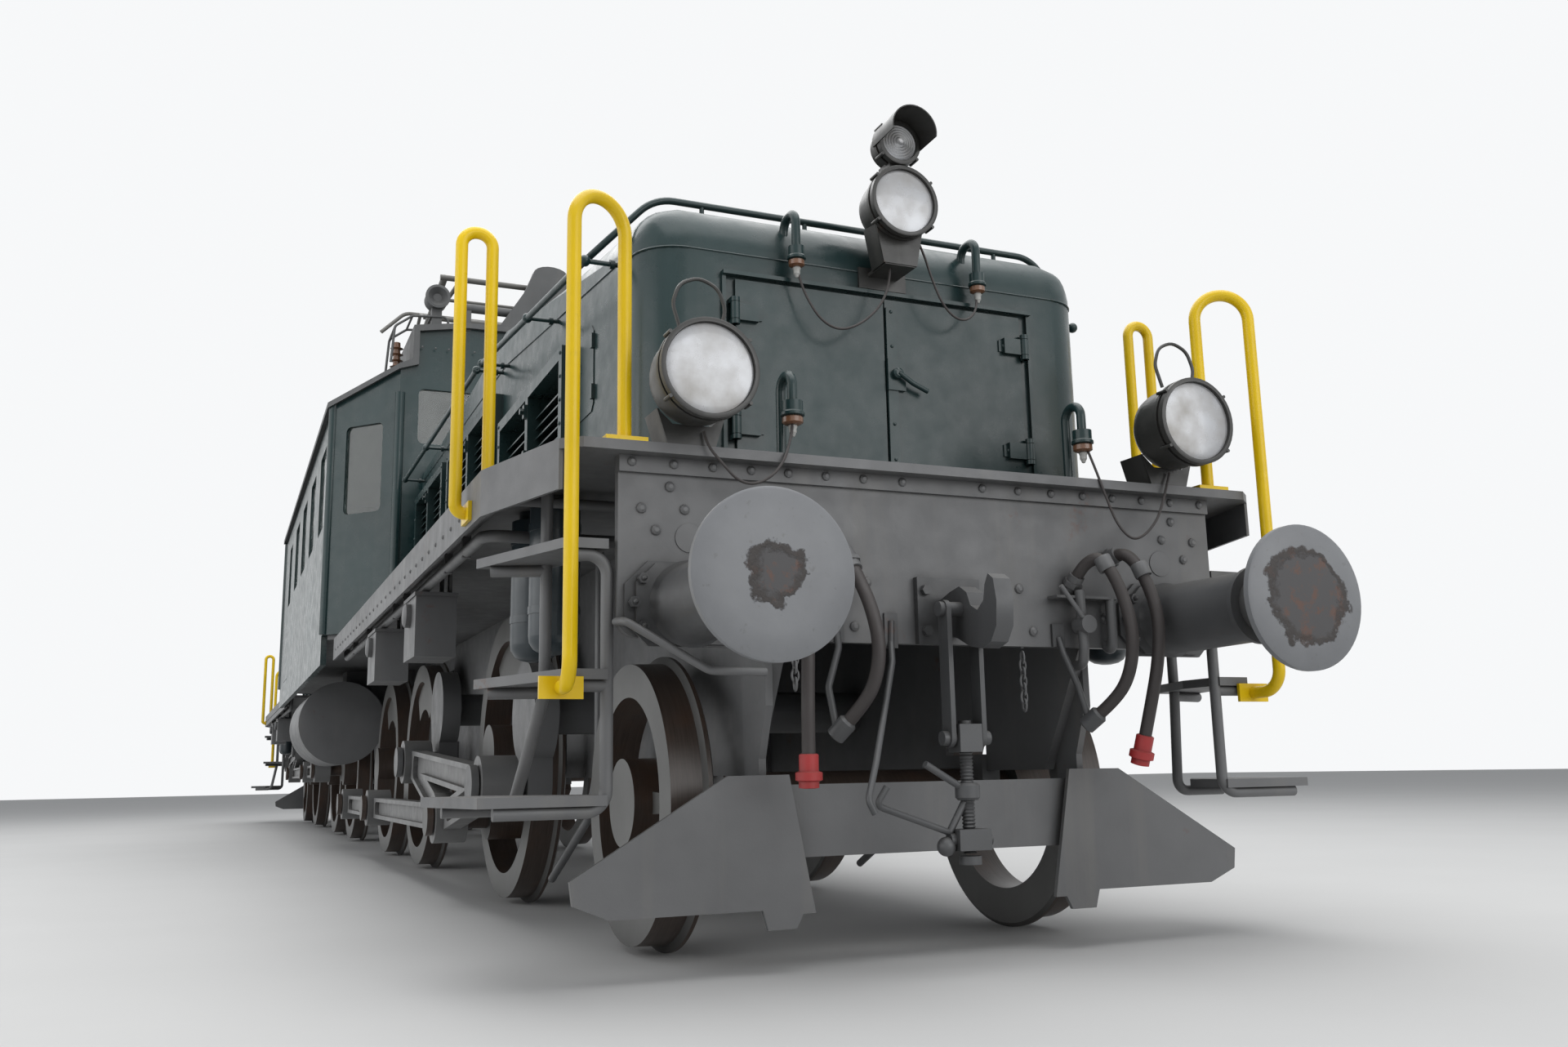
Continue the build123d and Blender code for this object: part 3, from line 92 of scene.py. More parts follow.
# %% [markdown]
# ## Node helpers for the finishes
# Old paint is never one colour: it fades in broad patches, gathers dust on what faces up, runs in streaks
# and shows the brush. Each of these is one noise, stretched or thresholded in its own way, and the helpers
# below keep the recipes short. Object coordinates are used throughout, so that a pattern keeps its real
# size.

# %% Helpers: noises, ramps and mixes
def new_material(name):
    """A material with a bare Principled shader; returns it with its node tree and the shader."""
    material = bpy.data.materials.new(name)
    material.use_nodes = True
    return material, material.node_tree, material.node_tree.nodes["Principled BSDF"]


def coordinates(tree, stretch=(1, 1, 1)):
    """Object coordinates, scaled along each axis."""
    source = tree.nodes.new("ShaderNodeTexCoord")
    mapping = tree.nodes.new("ShaderNodeMapping")
    mapping.inputs["Scale"].default_value = stretch
    tree.links.new(source.outputs["Object"], mapping.inputs["Vector"])
    return mapping.outputs["Vector"]


def axes(tree, vector):
    """The X, Y and Z of a vector."""
    split = tree.nodes.new("ShaderNodeSeparateXYZ")
    tree.links.new(vector, split.inputs["Vector"])
    return split.outputs


def noise(tree, scale, detail=5.0, stretch=(1, 1, 1), roughness=0.55):
    """Soft random patches, from 0 to 1; a larger scale makes them smaller."""
    texture = tree.nodes.new("ShaderNodeTexNoise")
    texture.inputs["Scale"].default_value = scale
    texture.inputs["Detail"].default_value = detail
    texture.inputs["Roughness"].default_value = roughness
    tree.links.new(coordinates(tree, stretch), texture.inputs["Vector"])
    return texture.outputs["Fac"]


def spread(tree, value, low, high, to_low=0.0, to_high=1.0):
    """Maps a value from one range to another and clamps it."""
    node = tree.nodes.new("ShaderNodeMapRange")
    node.inputs["From Min"].default_value = low
    node.inputs["From Max"].default_value = high
    node.inputs["To Min"].default_value = to_low
    node.inputs["To Max"].default_value = to_high
    tree.links.new(value, node.inputs["Value"])
    return node.outputs["Result"]


def times(tree, first, second, operation="MULTIPLY"):
    """The product of two values, or another sum with them; either may be a plain number."""
    node = tree.nodes.new("ShaderNodeMath")
    node.operation = operation
    for socket, value in zip(node.inputs, (first, second)):
        if isinstance(value, (int, float)):
            socket.default_value = value
        else:
            tree.links.new(value, socket)
    return node.outputs["Value"]


def blend_colours(tree, factor, first, second):
    """The first colour where the factor is 0, the second where it is 1."""
    node = tree.nodes.new("ShaderNodeMix")
    node.data_type = "RGBA"
    tree.links.new(factor, node.inputs["Factor"])
    for socket, value in ((node.inputs["A"], first), (node.inputs["B"], second)):
        if isinstance(value, tuple):
            socket.default_value = (*value, 1.0)
        else:
            tree.links.new(value, socket)
    return node.outputs["Result"]


def normal_axes(tree):
    """The X, Y and Z of the direction in which the surface faces."""
    return axes(tree, tree.nodes.new("ShaderNodeNewGeometry").outputs["Normal"])


def facing_up(tree):
    """1 on what faces the sky, 0 on walls and undersides."""
    return spread(tree, normal_axes(tree)["Z"], 0.55, 0.95)


def hollows(tree, distance):
    """1 in corners and under edges, 0 in the open, from ambient occlusion; it masks painted shade."""
    node = tree.nodes.new("ShaderNodeAmbientOcclusion")
    node.samples = 6
    node.inputs["Distance"].default_value = distance
    return spread(tree, node.outputs["AO"], 0.25, 1.0, 1.0, 0.0)


def rough_surface(tree, shader, heights):
    """Adds up bump from (value, depth in metres) pairs."""
    normal = None
    for value, depth in heights:
        node = tree.nodes.new("ShaderNodeBump")
        node.inputs["Strength"].default_value = 1.0
        node.inputs["Distance"].default_value = depth
        tree.links.new(value, node.inputs["Height"])
        if normal is not None:
            tree.links.new(normal, node.inputs["Normal"])
        normal = node.outputs["Normal"]
    tree.links.new(normal, shader.inputs["Normal"])


print("node helpers ready")

# %% [markdown]
# ## Painted metal
# One function makes every paint on the locomotive, because all of them age alike: a broad fade, fine brush
# marks, dust on top, pale water streaks and a few rust stains. It also paints shade into the hollows: a
# near-black tone from ambient occlusion. What differs is only the colour, the gloss and how much of each
# there is. The brush marks run along the locomotive, so their noise is squeezed along X.

# %% Paint
DUST = (0.22, 0.205, 0.18)
# near-black for painted shade in corners and under edges
HOLLOW_SHADE_COLOUR = (0.018, 0.016, 0.014)
RUST = (0.13, 0.045, 0.018)


def paint(name, colour, roughness, dust=0.35, hollow_shade=0.6, rust=0.3, streaks=0.25, lumps=0.0006, coat=0.0,
          gloss=0.5):
    """Old paint with painted shade in its hollows; the amounts say how much dust, painted shade, rust and
    streaks it gets, lumps how deep the brush marks are.
    """
    material, tree, shader = new_material(name)
    darker = tuple(channel * 0.78 for channel in colour)
    lighter = tuple(min(1.0, channel * 1.22) for channel in colour)
    broad = spread(tree, noise(tree, 1.1, 4.0), 0.3, 0.7)
    tone = blend_colours(tree, broad, darker, lighter)
    flecks = spread(tree, noise(tree, 34.0, 6.0), 0.62, 0.74)
    tone = blend_colours(tree, times(tree, flecks, 0.25), tone, darker)
    runs = spread(tree, noise(tree, 9.0, 5.0, (1.0, 1.0, 0.06)), 0.56, 0.75)
    tone = blend_colours(tree, times(tree, runs, streaks), tone, DUST)
    settled = times(tree, facing_up(tree), spread(tree, noise(tree, 7.0, 6.0), 0.25, 0.75, 0.4, 1.0))
    tone = blend_colours(tree, times(tree, settled, dust), tone, DUST)
    # Painted shade: corners and the areas under edges go towards near-black, by ambient occlusion, in
    # patches.
    hollow_shade_mask = times(tree, hollows(tree, 0.12), spread(tree, noise(tree, 5.0, 6.0), 0.2, 0.7, 0.45, 1.0))
    tone = blend_colours(tree, times(tree, hollow_shade_mask, hollow_shade), tone, HOLLOW_SHADE_COLOUR)
    patches = times(tree, spread(tree, noise(tree, 3.1, 8.0, roughness=0.68), 0.63, 0.70),
                    spread(tree, noise(tree, 60.0, 4.0), 0.45, 0.6))
    tone = blend_colours(tree, times(tree, patches, rust), tone, RUST)
    tree.links.new(tone, shader.inputs["Base Color"])
    wear = spread(tree, noise(tree, 12.0, 6.0), 0.3, 0.7, roughness - 0.07, roughness + 0.10)
    wear = times(tree, wear, times(tree, settled, 0.25), "ADD")
    tree.links.new(wear, shader.inputs["Roughness"])
    brush = noise(tree, 26.0, 5.0, (0.35, 1.0, 1.0))
    rough_surface(tree, shader, (
        (noise(tree, 5.0, 3.0), lumps * 2.5), (brush, lumps), (noise(tree, 160.0, 3.0), lumps * 0.3)))
    shader.inputs["Coat Weight"].default_value = coat
    shader.inputs["Coat Roughness"].default_value = 0.18
    shader.inputs["Specular IOR Level"].default_value = gloss
    return material


GREEN = paint("green_paint", (0.011, 0.031, 0.032), 0.30, dust=0.22, hollow_shade=0.5, rust=0.05, streaks=0.05,
              coat=0.12, gloss=0.34)
GREY = paint("grey_paint", (0.135, 0.137, 0.140), 0.46, dust=0.30, hollow_shade=0.75, rust=0.45, streaks=0.22)
DARK_GREY = paint("roof_paint", (0.085, 0.088, 0.090), 0.55, dust=0.45, hollow_shade=0.6, rust=0.25, streaks=0.2)
ROD = paint("rod_paint", (0.165, 0.166, 0.166), 0.40, dust=0.25, hollow_shade=0.85, rust=0.15, streaks=0.1,
            lumps=0.0004)
YELLOW = paint("yellow_paint", (0.80, 0.54, 0.003), 0.32, dust=0.04, hollow_shade=0.35, rust=0.03, streaks=0.03,
               coat=0.15, gloss=0.3)
LAMP = paint("lamp_paint", (0.036, 0.036, 0.034), 0.36, dust=0.25, hollow_shade=0.6, rust=0.25, streaks=0.2)
CABINET = paint("cabinet_paint", (0.26, 0.28, 0.25), 0.5, dust=0.2, hollow_shade=0.4, rust=0.05, streaks=0.05)
PANTO = paint("panto_paint", (0.13, 0.128, 0.12), 0.5, dust=0.3, hollow_shade=0.5, rust=0.5, streaks=0.2)
RED = paint("red_paint", (0.42, 0.035, 0.035), 0.42, dust=0.2, hollow_shade=0.8, rust=0.5, streaks=0.1)
DARK_IRON = paint("dark_iron", (0.075, 0.077, 0.080), 0.42, dust=0.25, hollow_shade=0.8, rust=0.35, streaks=0.1)
CYLINDER_PAINT = paint("cylinder_paint", (0.020, 0.031, 0.038), 0.36, dust=0.35, hollow_shade=0.5, rust=0.1,
                       streaks=0.15, coat=0.2)
CERAMIC = paint("ceramic", (0.17, 0.075, 0.035), 0.30, dust=0.2, hollow_shade=0.6, rust=0.0, streaks=0.0, coat=0.5)
WHITE_PLUG = paint("white_plug", (0.42, 0.42, 0.40), 0.35, dust=0.1, hollow_shade=0.5, rust=0.0, streaks=0.0)
HOSE = paint("hose_rubber", (0.042, 0.036, 0.035), 0.55, dust=0.35, hollow_shade=0.5, rust=0.1, streaks=0.0,
             lumps=0.0003)
# Black for sheets and discs that stand for the dark in recesses and holes: painted shade.
SHADE_BLACK = paint("painted_shade_black", (0.004, 0.004, 0.004), 0.9, dust=0.0, hollow_shade=0.9, rust=0.0, streaks=0.0, gloss=0.05)
print("paints:", [material.name for material in bpy.data.materials if material.use_nodes])

# %% [markdown]
# ## Buffer discs
# The discs are painted grey, and in the middle of each is a ragged patch where the paint has burnt and
# flaked off: small with a dark rim on the right-hand disc, large and blotched with rust on the left-hand
# one. A picture could show that, but the distance from the disc's centre does it with nodes alone. Noise is
# added to the distance, which makes the patch's edge ragged.

# %% Disc steel
BUFFER_Y, BUFFER_Z = 875, 1060     # a disc's centre, millimetres from the middle and over the rail head
PATCH_RIGHT, PATCH_LEFT = 0.078, 0.150


def from_disc_centre(tree):
    """Distance from the nearer disc's centre, and 0 on the right-hand disc, 1 on the left-hand one."""
    spot = axes(tree, coordinates(tree))
    across = times(tree, times(tree, spot["Y"], 0.0, "ABSOLUTE"), BUFFER_Y / 1000, "SUBTRACT")
    up = times(tree, spot["Z"], BUFFER_Z / 1000 + FLANGE, "SUBTRACT")
    squares = times(tree, times(tree, across, across), times(tree, up, up), "ADD")
    return times(tree, squares, 0.5, "POWER"), spread(tree, spot["Y"], -0.01, 0.01)


def disc_steel(name):
    """Grey paint with a ragged bare patch in the middle."""
    material, tree, shader = new_material(name)
    broad = spread(tree, noise(tree, 5.0, 5.0), 0.3, 0.7)
    grey = blend_colours(tree, broad, (0.165, 0.170, 0.180), (0.205, 0.212, 0.222))
    flecks = spread(tree, noise(tree, 42.0, 5.0), 0.64, 0.74)
    grey = blend_colours(tree, times(tree, flecks, 0.35), grey, (0.09, 0.085, 0.08))
    distance, left_disc = from_disc_centre(tree)
    wander = spread(tree, noise(tree, 13.0, 7.0, roughness=0.65), 0.3, 0.7, -0.028, 0.028)
    reach = spread(tree, left_disc, 0.0, 1.0, PATCH_RIGHT, PATCH_LEFT)
    beyond = times(tree, times(tree, distance, wander, "ADD"), reach, "SUBTRACT")
    patch = spread(tree, beyond, -0.004, 0.005, 1.0, 0.0)
    rim = times(tree, patch, spread(tree, beyond, -0.030, -0.014))
    blots = times(tree, patch, spread(tree, noise(tree, 17.0, 6.0, roughness=0.7), 0.52, 0.60))
    tone = blend_colours(tree, patch, grey, (0.068, 0.066, 0.068))
    tone = blend_colours(tree, times(tree, blots, 0.75), tone, (0.125, 0.062, 0.042))
    tone = blend_colours(tree, times(tree, rim, 0.8), tone, (0.030, 0.024, 0.021))
    tree.links.new(tone, shader.inputs["Base Color"])
    tree.links.new(spread(tree, patch, 0.0, 1.0, 0.42, 0.62), shader.inputs["Roughness"])
    rough_surface(tree, shader, (
        (noise(tree, 14.0, 6.0), 0.0007), (times(tree, rim, noise(tree, 40.0, 4.0)), 0.004)))
    return material


DISC_STEEL = disc_steel("disc_steel")
print("disc steel ready")

# %% [markdown]
# ## Lamp glass
# Through a lamp's glass one sees the silvered reflector behind it, dulled by haze. Glass over a mirror
# would need many bounces of light and gives noise, so one opaque surface stands for both: partly metal,
# fairly rough, with a clear coat for the glass itself.

# %% Lamp glass
def lamp_glass(name):
    """A hazy reflector under a thin clear coat."""
    material, tree, shader = new_material(name)
    haze = spread(tree, noise(tree, 7.0, 5.0), 0.35, 0.7)
    tone = blend_colours(tree, haze, (0.42, 0.43, 0.45), (0.25, 0.24, 0.225))
    tree.links.new(tone, shader.inputs["Base Color"])
    tree.links.new(spread(tree, haze, 0.0, 1.0, 0.22, 0.40), shader.inputs["Roughness"])
    shader.inputs["Metallic"].default_value = 0.30
    shader.inputs["Coat Weight"].default_value = 0.5
    shader.inputs["Coat Roughness"].default_value = 0.06
    return material


LAMP_GLASS = lamp_glass("lamp_glass")
print("lamp glass ready")

# %% [markdown]
# ## Wheels
# A wheel has two finishes on one piece: its face is painted grey, and its tread, which the rail has rubbed
# and which has since stood in the damp, is dark brown. The surface normal tells them apart, since the tread
# is the only large part that faces neither left nor right.

# %% Wheel steel
def wheel_steel(name):
    """Grey paint on the faces that look left or right, damp brown steel on the tread."""
    material, tree, shader = new_material(name)
    sideways = times(tree, normal_axes(tree)["Y"], 0.0, "ABSOLUTE")
    tread = spread(tree, sideways, 0.25, 0.45, 1.0, 0.0)
    broad = spread(tree, noise(tree, 2.0, 5.0), 0.3, 0.7)
    painted = blend_colours(tree, broad, (0.105, 0.105, 0.102), (0.16, 0.16, 0.155))
    # Painted shade: the face goes towards near-black in corners and under edges, by ambient occlusion.
    painted = blend_colours(tree, times(tree, hollows(tree, 0.15), 0.8), painted, HOLLOW_SHADE_COLOUR)
    rings = noise(tree, 30.0, 4.0, (0.25, 6.0, 0.25))
    rusty = blend_colours(tree, spread(tree, rings, 0.30, 0.75), (0.050, 0.036, 0.029), (0.082, 0.062, 0.052))
    stains = spread(tree, noise(tree, 6.0, 6.0), 0.5, 0.7, 0.0, 0.5)
    rusty = blend_colours(tree, stains, rusty, (0.10, 0.055, 0.035))
    tree.links.new(blend_colours(tree, tread, painted, rusty), shader.inputs["Base Color"])
    tree.links.new(spread(tree, tread, 0.0, 1.0, 0.48, 0.36), shader.inputs["Roughness"])
    rough_surface(tree, shader, ((noise(tree, 8.0, 5.0), 0.0012), (rings, 0.0004)))
    return material


WHEEL = wheel_steel("wheel_steel")
print("wheel steel ready")

# %% [markdown]
# ## Glass
# The panes are thin and clean enough to look through but dark inside, so a plain glass shader with a little
# tint is enough. Shadows of thin glass are nearly clear; a Light Path node swaps the glass for a
# transparent shader on shadow rays, which keeps the cab's inside from going black.

# %% Window glass
def window_glass(name):
    """Thin dusty glass whose shadow is nearly clear."""
    material, tree, shader = new_material(name)
    shader.inputs["Base Color"].default_value = (0.80, 0.87, 0.85, 1.0)
    shader.inputs["Transmission Weight"].default_value = 1.0
    shader.inputs["IOR"].default_value = 1.45
    tree.links.new(spread(tree, noise(tree, 6.0, 5.0), 0.3, 0.8, 0.02, 0.22), shader.inputs["Roughness"])
    clear = tree.nodes.new("ShaderNodeBsdfTransparent")
    clear.inputs["Color"].default_value = (0.78, 0.84, 0.82, 1.0)
    light_path = tree.nodes.new("ShaderNodeLightPath")
    swap = tree.nodes.new("ShaderNodeMixShader")
    output = tree.nodes["Material Output"]
    tree.links.new(light_path.outputs["Is Shadow Ray"], swap.inputs["Fac"])
    tree.links.new(shader.outputs["BSDF"], swap.inputs[1])
    tree.links.new(clear.outputs["BSDF"], swap.inputs[2])
    tree.links.new(swap.outputs["Shader"], output.inputs["Surface"])
    return material


GLASS = window_glass("window_glass")
print("glass ready")

# %% [markdown]
# ## Finishes for the solids
# Each solid of the frame already carries the name of its finish in the record. A table from that name to a
# material is all that is needed, and the meshes themselves stay as they are.

# %% Give each solid its finish
FINISHES = {
    "green_paint": GREEN, "grey_paint": GREY, "roof_paint": DARK_GREY, "rod_paint": ROD, "wheel_steel": WHEEL,
    "yellow_paint": YELLOW, "lamp_paint": LAMP, "cabinet_paint": CABINET, "window_glass": GLASS,
    "panto_paint": PANTO,
}
for part in frame["record"]["subparts"]:
    node = frame["nodes"][part["node"]]
    node.data.materials.clear()
    node.data.materials.append(FINISHES[part["material_slot"]])

# %% [markdown]
# ## A small kit of forms
# Most of what is missing from the solids is made of a few forms: boxes, round bars, bent pipes, turned
# pieces and flat plates. Each helper adds one such form to a bmesh, in millimetres over the rail head,
# which is how a drawing of the locomotive would give them. The rear end is the front end turned half a
# turn, so every piece is built once and placed twice.

# %% Helpers: boxes and rings
MILLIMETRES = Matrix.Translation((0, 0, FLANGE)) @ Matrix.Scale(0.001, 4)
SIDES = (-1, 1)                    # right and left
AHEAD, ACROSS, UP = Vector((1, 0, 0)), Vector((0, 1, 0)), Vector((0, 0, 1))


def add_box(bm, corner, opposite):
    """A box between two opposite corners, given in any order."""
    xs, ys, zs = (sorted(pair) for pair in zip(corner, opposite))
    corners = [bm.verts.new((x, y, z)) for x in xs for y in ys for z in zs]
    for loop in ((0, 1, 3, 2), (4, 6, 7, 5), (0, 4, 5, 1), (2, 3, 7, 6), (0, 2, 6, 4), (1, 5, 7, 3)):
        bm.faces.new([corners[index] for index in loop])


def add_rings(bm, rings, closed=False):
    """Joins rings of points with quads; the ends are capped unless the rings form a loop."""
    loops = [[bm.verts.new(point) for point in ring] for ring in rings]
    pairs = list(zip(loops, loops[1:] + loops[:1])) if closed else list(zip(loops, loops[1:]))
    for near, far in pairs:
        for index in range(len(near)):
            after = (index + 1) % len(near)
            bm.faces.new((near[index], near[after], far[after], far[index]))
    if not closed:
        bm.faces.new(list(reversed(loops[0])))
        bm.faces.new(loops[-1])


print("boxes and rings ready")

# %% [markdown]
# ## Pipes, turned pieces and plates
# A pipe is a ring of points carried along a route; what matters is that the ring doesn't twist, so each
# ring takes its sideways direction from the one before. Corners are replaced by arcs first, as a pipe
# bender does. A turned piece is given like a lathe drawing, by its profile.

# %% Helpers: pipes, turned pieces and plates
def side_vectors(way):
    """Two directions square to a way and to each other."""
    helper = UP if abs(way.z) < 0.9 else AHEAD
    first = way.cross(helper).normalized()
    return first, way.cross(first).normalized()


def ring_of_points(centre, first, second, radius, sides):
    """Points on a circle that is spanned by two directions."""
    turns = [2 * pi * k / sides for k in range(sides)]
    return [centre + radius * (cos(turn) * first + sin(turn) * second) for turn in turns]


def add_pipe(bm, points, radius, sides=12, closed=False):
    """A round bar along points; its section is carried along without twist."""
    points = [Vector(point) for point in points]
    count = len(points)
    first = side_vectors((points[1] - points[0]).normalized())[0]
    rings = []
    for index, point in enumerate(points):
        before = points[index - 1] if index or closed else point
        after = points[(index + 1) % count] if index < count - 1 or closed else point
        way = (after - before).normalized()
        first = (first - way * first.dot(way)).normalized()
        rings.append(ring_of_points(point, first, way.cross(first), radius, sides))
    add_rings(bm, rings, closed)


def rounded(points, bend, steps=6):
    """The same route with each corner replaced by an arc."""
    points = [Vector(point) for point in points]
    route = [points[0]]
    for before, corner, after in zip(points, points[1:], points[2:]):
        arriving = (corner - before).normalized()
        leaving = (after - corner).normalized()
        half_turn = arriving.angle(leaving) / 2
        if half_turn < 0.02:
            route.append(corner)
            continue
        reach = min(bend * tan(half_turn), 0.48 * min((corner - before).length, (after - corner).length))
        radius = reach / tan(half_turn)
        centre = corner + (leaving - arriving).normalized() * radius / cos(half_turn)
        start = corner - arriving * reach
        axis = arriving.cross(leaving).normalized()
        for step in range(steps + 1):
            turn = Matrix.Rotation(2 * half_turn * step / steps, 3, axis)
            route.append(centre + turn @ (start - centre))
    route.append(points[-1])
    return route


def add_turned(bm, profile, centre, way=AHEAD, sides=48):
    """A turned piece: its profile lists distances along the axis and radii, from one end to the other."""
    centre, way = Vector(centre), Vector(way).normalized()
    first, second = side_vectors(way)
    add_rings(bm, [
        ring_of_points(centre + way * along, first, second, radius, sides) for along, radius in profile])


def ball_profile(radius, step):
    """A ball to be turned; step is the angle between two of its rings."""
    return [(-radius * cos(radians(a)), max(0.5, radius * sin(radians(a)))) for a in range(0, 181, step)]


def octagon(width, height, corner):
    """The outline of a rectangle whose corners are cut off."""
    w, h = width / 2, height / 2
    return [(-w, corner - h), (corner - w, -h), (w - corner, -h), (w, corner - h),
            (w, h - corner), (w - corner, h), (corner - w, h), (-w, h - corner)]


def add_plate(bm, outline, origin, right_way, up_way, thickness):
    """A flat plate: its outline is drawn on a plane and given a thickness, centred on that plane."""
    origin = Vector(origin)
    depth = right_way.cross(up_way).normalized() * thickness / 2
    flat = [origin + right_way * a + up_way * b for a, b in outline]
    add_rings(bm, [[point - depth for point in flat], [point + depth for point in flat]])


def add_head(bm, centre, way, radius, height, sides=10):
    """A rivet head or, with six sides, a bolt head."""
    bolt = ((0, radius), (height, radius))
    rivet = ((0, radius), (0.55 * height, 0.86 * radius), (height, 0.4 * radius))
    add_turned(bm, bolt if sides == 6 else rivet, centre, way, sides)


print("pipes, turned pieces and plates ready")

# %% [markdown]
# ## From a form to a piece
# A finished form becomes a mesh in metres, shaded smooth except at its sharp edges. Then it is placed at
# one end or at both and given its finish and the body it rides. If it replaces a CAD solid, that solid is
# hidden.

# %% Helpers: finish and place
SHARP = radians(34)


def finished_mesh(bm, name):
    """Turns a form, drawn in millimetres, into a mesh in metres."""
    bmesh.ops.recalc_face_normals(bm, faces=bm.faces)
    mesh = bpy.data.meshes.new(name)
    bm.to_mesh(mesh)
    bm.free()
    mesh.transform(MILLIMETRES)
    mesh.polygons.foreach_set("use_smooth", [True] * len(mesh.polygons))
    mesh.set_sharp_from_angle(angle=SHARP)
    return mesh


def place(mesh, name, body, material, turn=0.0, replaced=None):
    """Puts a mesh at one end of the locomotive, on the body that carries it."""
    if turn:
        mesh = mesh.copy()
        mesh.transform(Matrix.Rotation(turn, 4, "Z"))
    piece = new_object(name, mesh)
    if not mesh.materials:
        mesh.materials.append(material)
    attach(piece, body)
    if replaced:
        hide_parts(replaced)
    return piece


def place_both(bm, name, material, body="bogie", replaced=None):
    """Makes a form into a piece at each end; the cab is the one body that both ends share."""
    mesh = finished_mesh(bm, name)
    for end, turn in ENDS:
        place(mesh, f"{end}_{name}", body if body == "cab_body" else f"{end}_{body}", material, turn,
              replaced and f"{end}_{replaced}")
    print(name, len(mesh.polygons), "faces at each end")


print("forms ready")

# %% [markdown]
# ## The hood's shell
# The hood is a welded box with a roof that slopes down to a rounded nose. It is drawn as a side view, given
# its width, and then its nose and shoulder edges are bevelled with one radius, which also makes the
# ball-like corners at the nose. A Boolean takes out the locker behind the doors and the recesses of the
# louvres.

# %% Hood
DECK = 1531                        # all heights are millimetres over the rail head
HOOD_FRONT, HOOD_BREAK, HOOD_REAR, HOOD_HALF = 8700, 6390, 3570, 900
SEAM_FRONT, SEAM_REAR, ROOF_RISE, HOOD_EDGE = 2345, 2592, 180, 160
LOUVRE_BAYS = ((3640, 4780, 2460), (4950, 6340, 2460), (6500, 7780, 2260))   # rear, front, top
LOUVRE_LOW, MEMBER, STANDOFF, RECESS = 1625, 50, 55, 70
DOOR_LOW, DOOR_HIGH, DOOR_HALF = 1610, 2235, 565
LOCKER_DEPTH = 420


def hood_seam(x):
    """Height of the edge between side and roof: level at the cab, falling towards the nose."""
    return SEAM_REAR - (SEAM_REAR - SEAM_FRONT) * max(0, x - HOOD_BREAK) / (HOOD_FRONT - HOOD_BREAK)


def louvre_windows(bay):
    """The two openings of a bay: their rear and front edge."""
    rear, front, top = bay
    width = (front - rear) / 2 - 1.5 * MEMBER
    return (rear + MEMBER, rear + MEMBER + width), (front - MEMBER - width, front - MEMBER)


hood_bm = bmesh.new()
side_view = [
    (HOOD_REAR, DECK), (HOOD_FRONT, DECK), (HOOD_FRONT, SEAM_FRONT + ROOF_RISE),
    (HOOD_BREAK, SEAM_REAR + ROOF_RISE), (HOOD_REAR, SEAM_REAR + ROOF_RISE)]
add_rings(hood_bm, [[(x, side * HOOD_HALF, z) for x, z in side_view] for side in SIDES])
soft_edges = []
for edge in hood_bm.edges:
    first, second = (corner.co for corner in edge.verts)
    middle = (first + second) / 2
    at_nose = middle.x > HOOD_FRONT - 1 and middle.z > DECK + 1
    at_side = abs(middle.y) > HOOD_HALF - 1 and middle.x > HOOD_REAR + 1
    if at_nose or at_side and middle.z > SEAM_FRONT + ROOF_RISE + 1:
        soft_edges.append(edge)
bmesh.ops.bevel(hood_bm, geom=soft_edges, offset=HOOD_EDGE, segments=7, profile=0.5, affect="EDGES",
                clamp_overlap=False)
hood_mesh = finished_mesh(hood_bm, "hood")

cutter_bm = bmesh.new()
add_box(cutter_bm, (HOOD_FRONT - LOCKER_DEPTH, -DOOR_HALF, DOOR_LOW), (HOOD_FRONT + 50, DOOR_HALF, DOOR_HIGH))
for bay in LOUVRE_BAYS:
    for rear, front in louvre_windows(bay):
        for side in SIDES:
            add_box(cutter_bm, (rear, side * (HOOD_HALF - RECESS), LOUVRE_LOW + MEMBER),
                    (front, side * (HOOD_HALF + 50), bay[2] - MEMBER))
cutter = new_object("hood_cutter", finished_mesh(cutter_bm, "hood_cutter"))
blank = new_object("hood_blank", hood_mesh)
cut = blank.modifiers.new("openings", "BOOLEAN")
cut.operation = "DIFFERENCE"
cut.solver = "EXACT"
cut.object = cutter
graph = bpy.context.evaluated_depsgraph_get()
hood_cut = bpy.data.meshes.new_from_object(blank.evaluated_get(graph))
for helper in (cutter, blank):
    bpy.data.objects.remove(helper)
hood_cut.polygons.foreach_set("use_smooth", [True] * len(hood_cut.polygons))
hood_cut.set_sharp_from_angle(angle=radians(30))
hood_cut.materials.clear()
for end, turn in ENDS:
    place(hood_cut, f"{end}_hood_shell", f"{end}_bogie", GREEN, turn, f"{end}_hood")
print("hood faces", len(hood_cut.polygons))

# %% [markdown]
# ## Louvres
# Air gets to the motors through framed louvres. A frame stands proud of the side, and slats lean outwards
# and down in it so that rain stays out. Behind them a black sheet closes the recess; it is painted shade, for
# the dark inside the hood.

# %% Louvres
SLAT_PITCH, SLAT_RISE, SLAT_THICK = 46, 40, 7


def louvre_rows(top):
    """How many slats fit under a bay's top."""
    return int((top - LOUVRE_LOW - 2 * MEMBER - SLAT_RISE) // SLAT_PITCH)


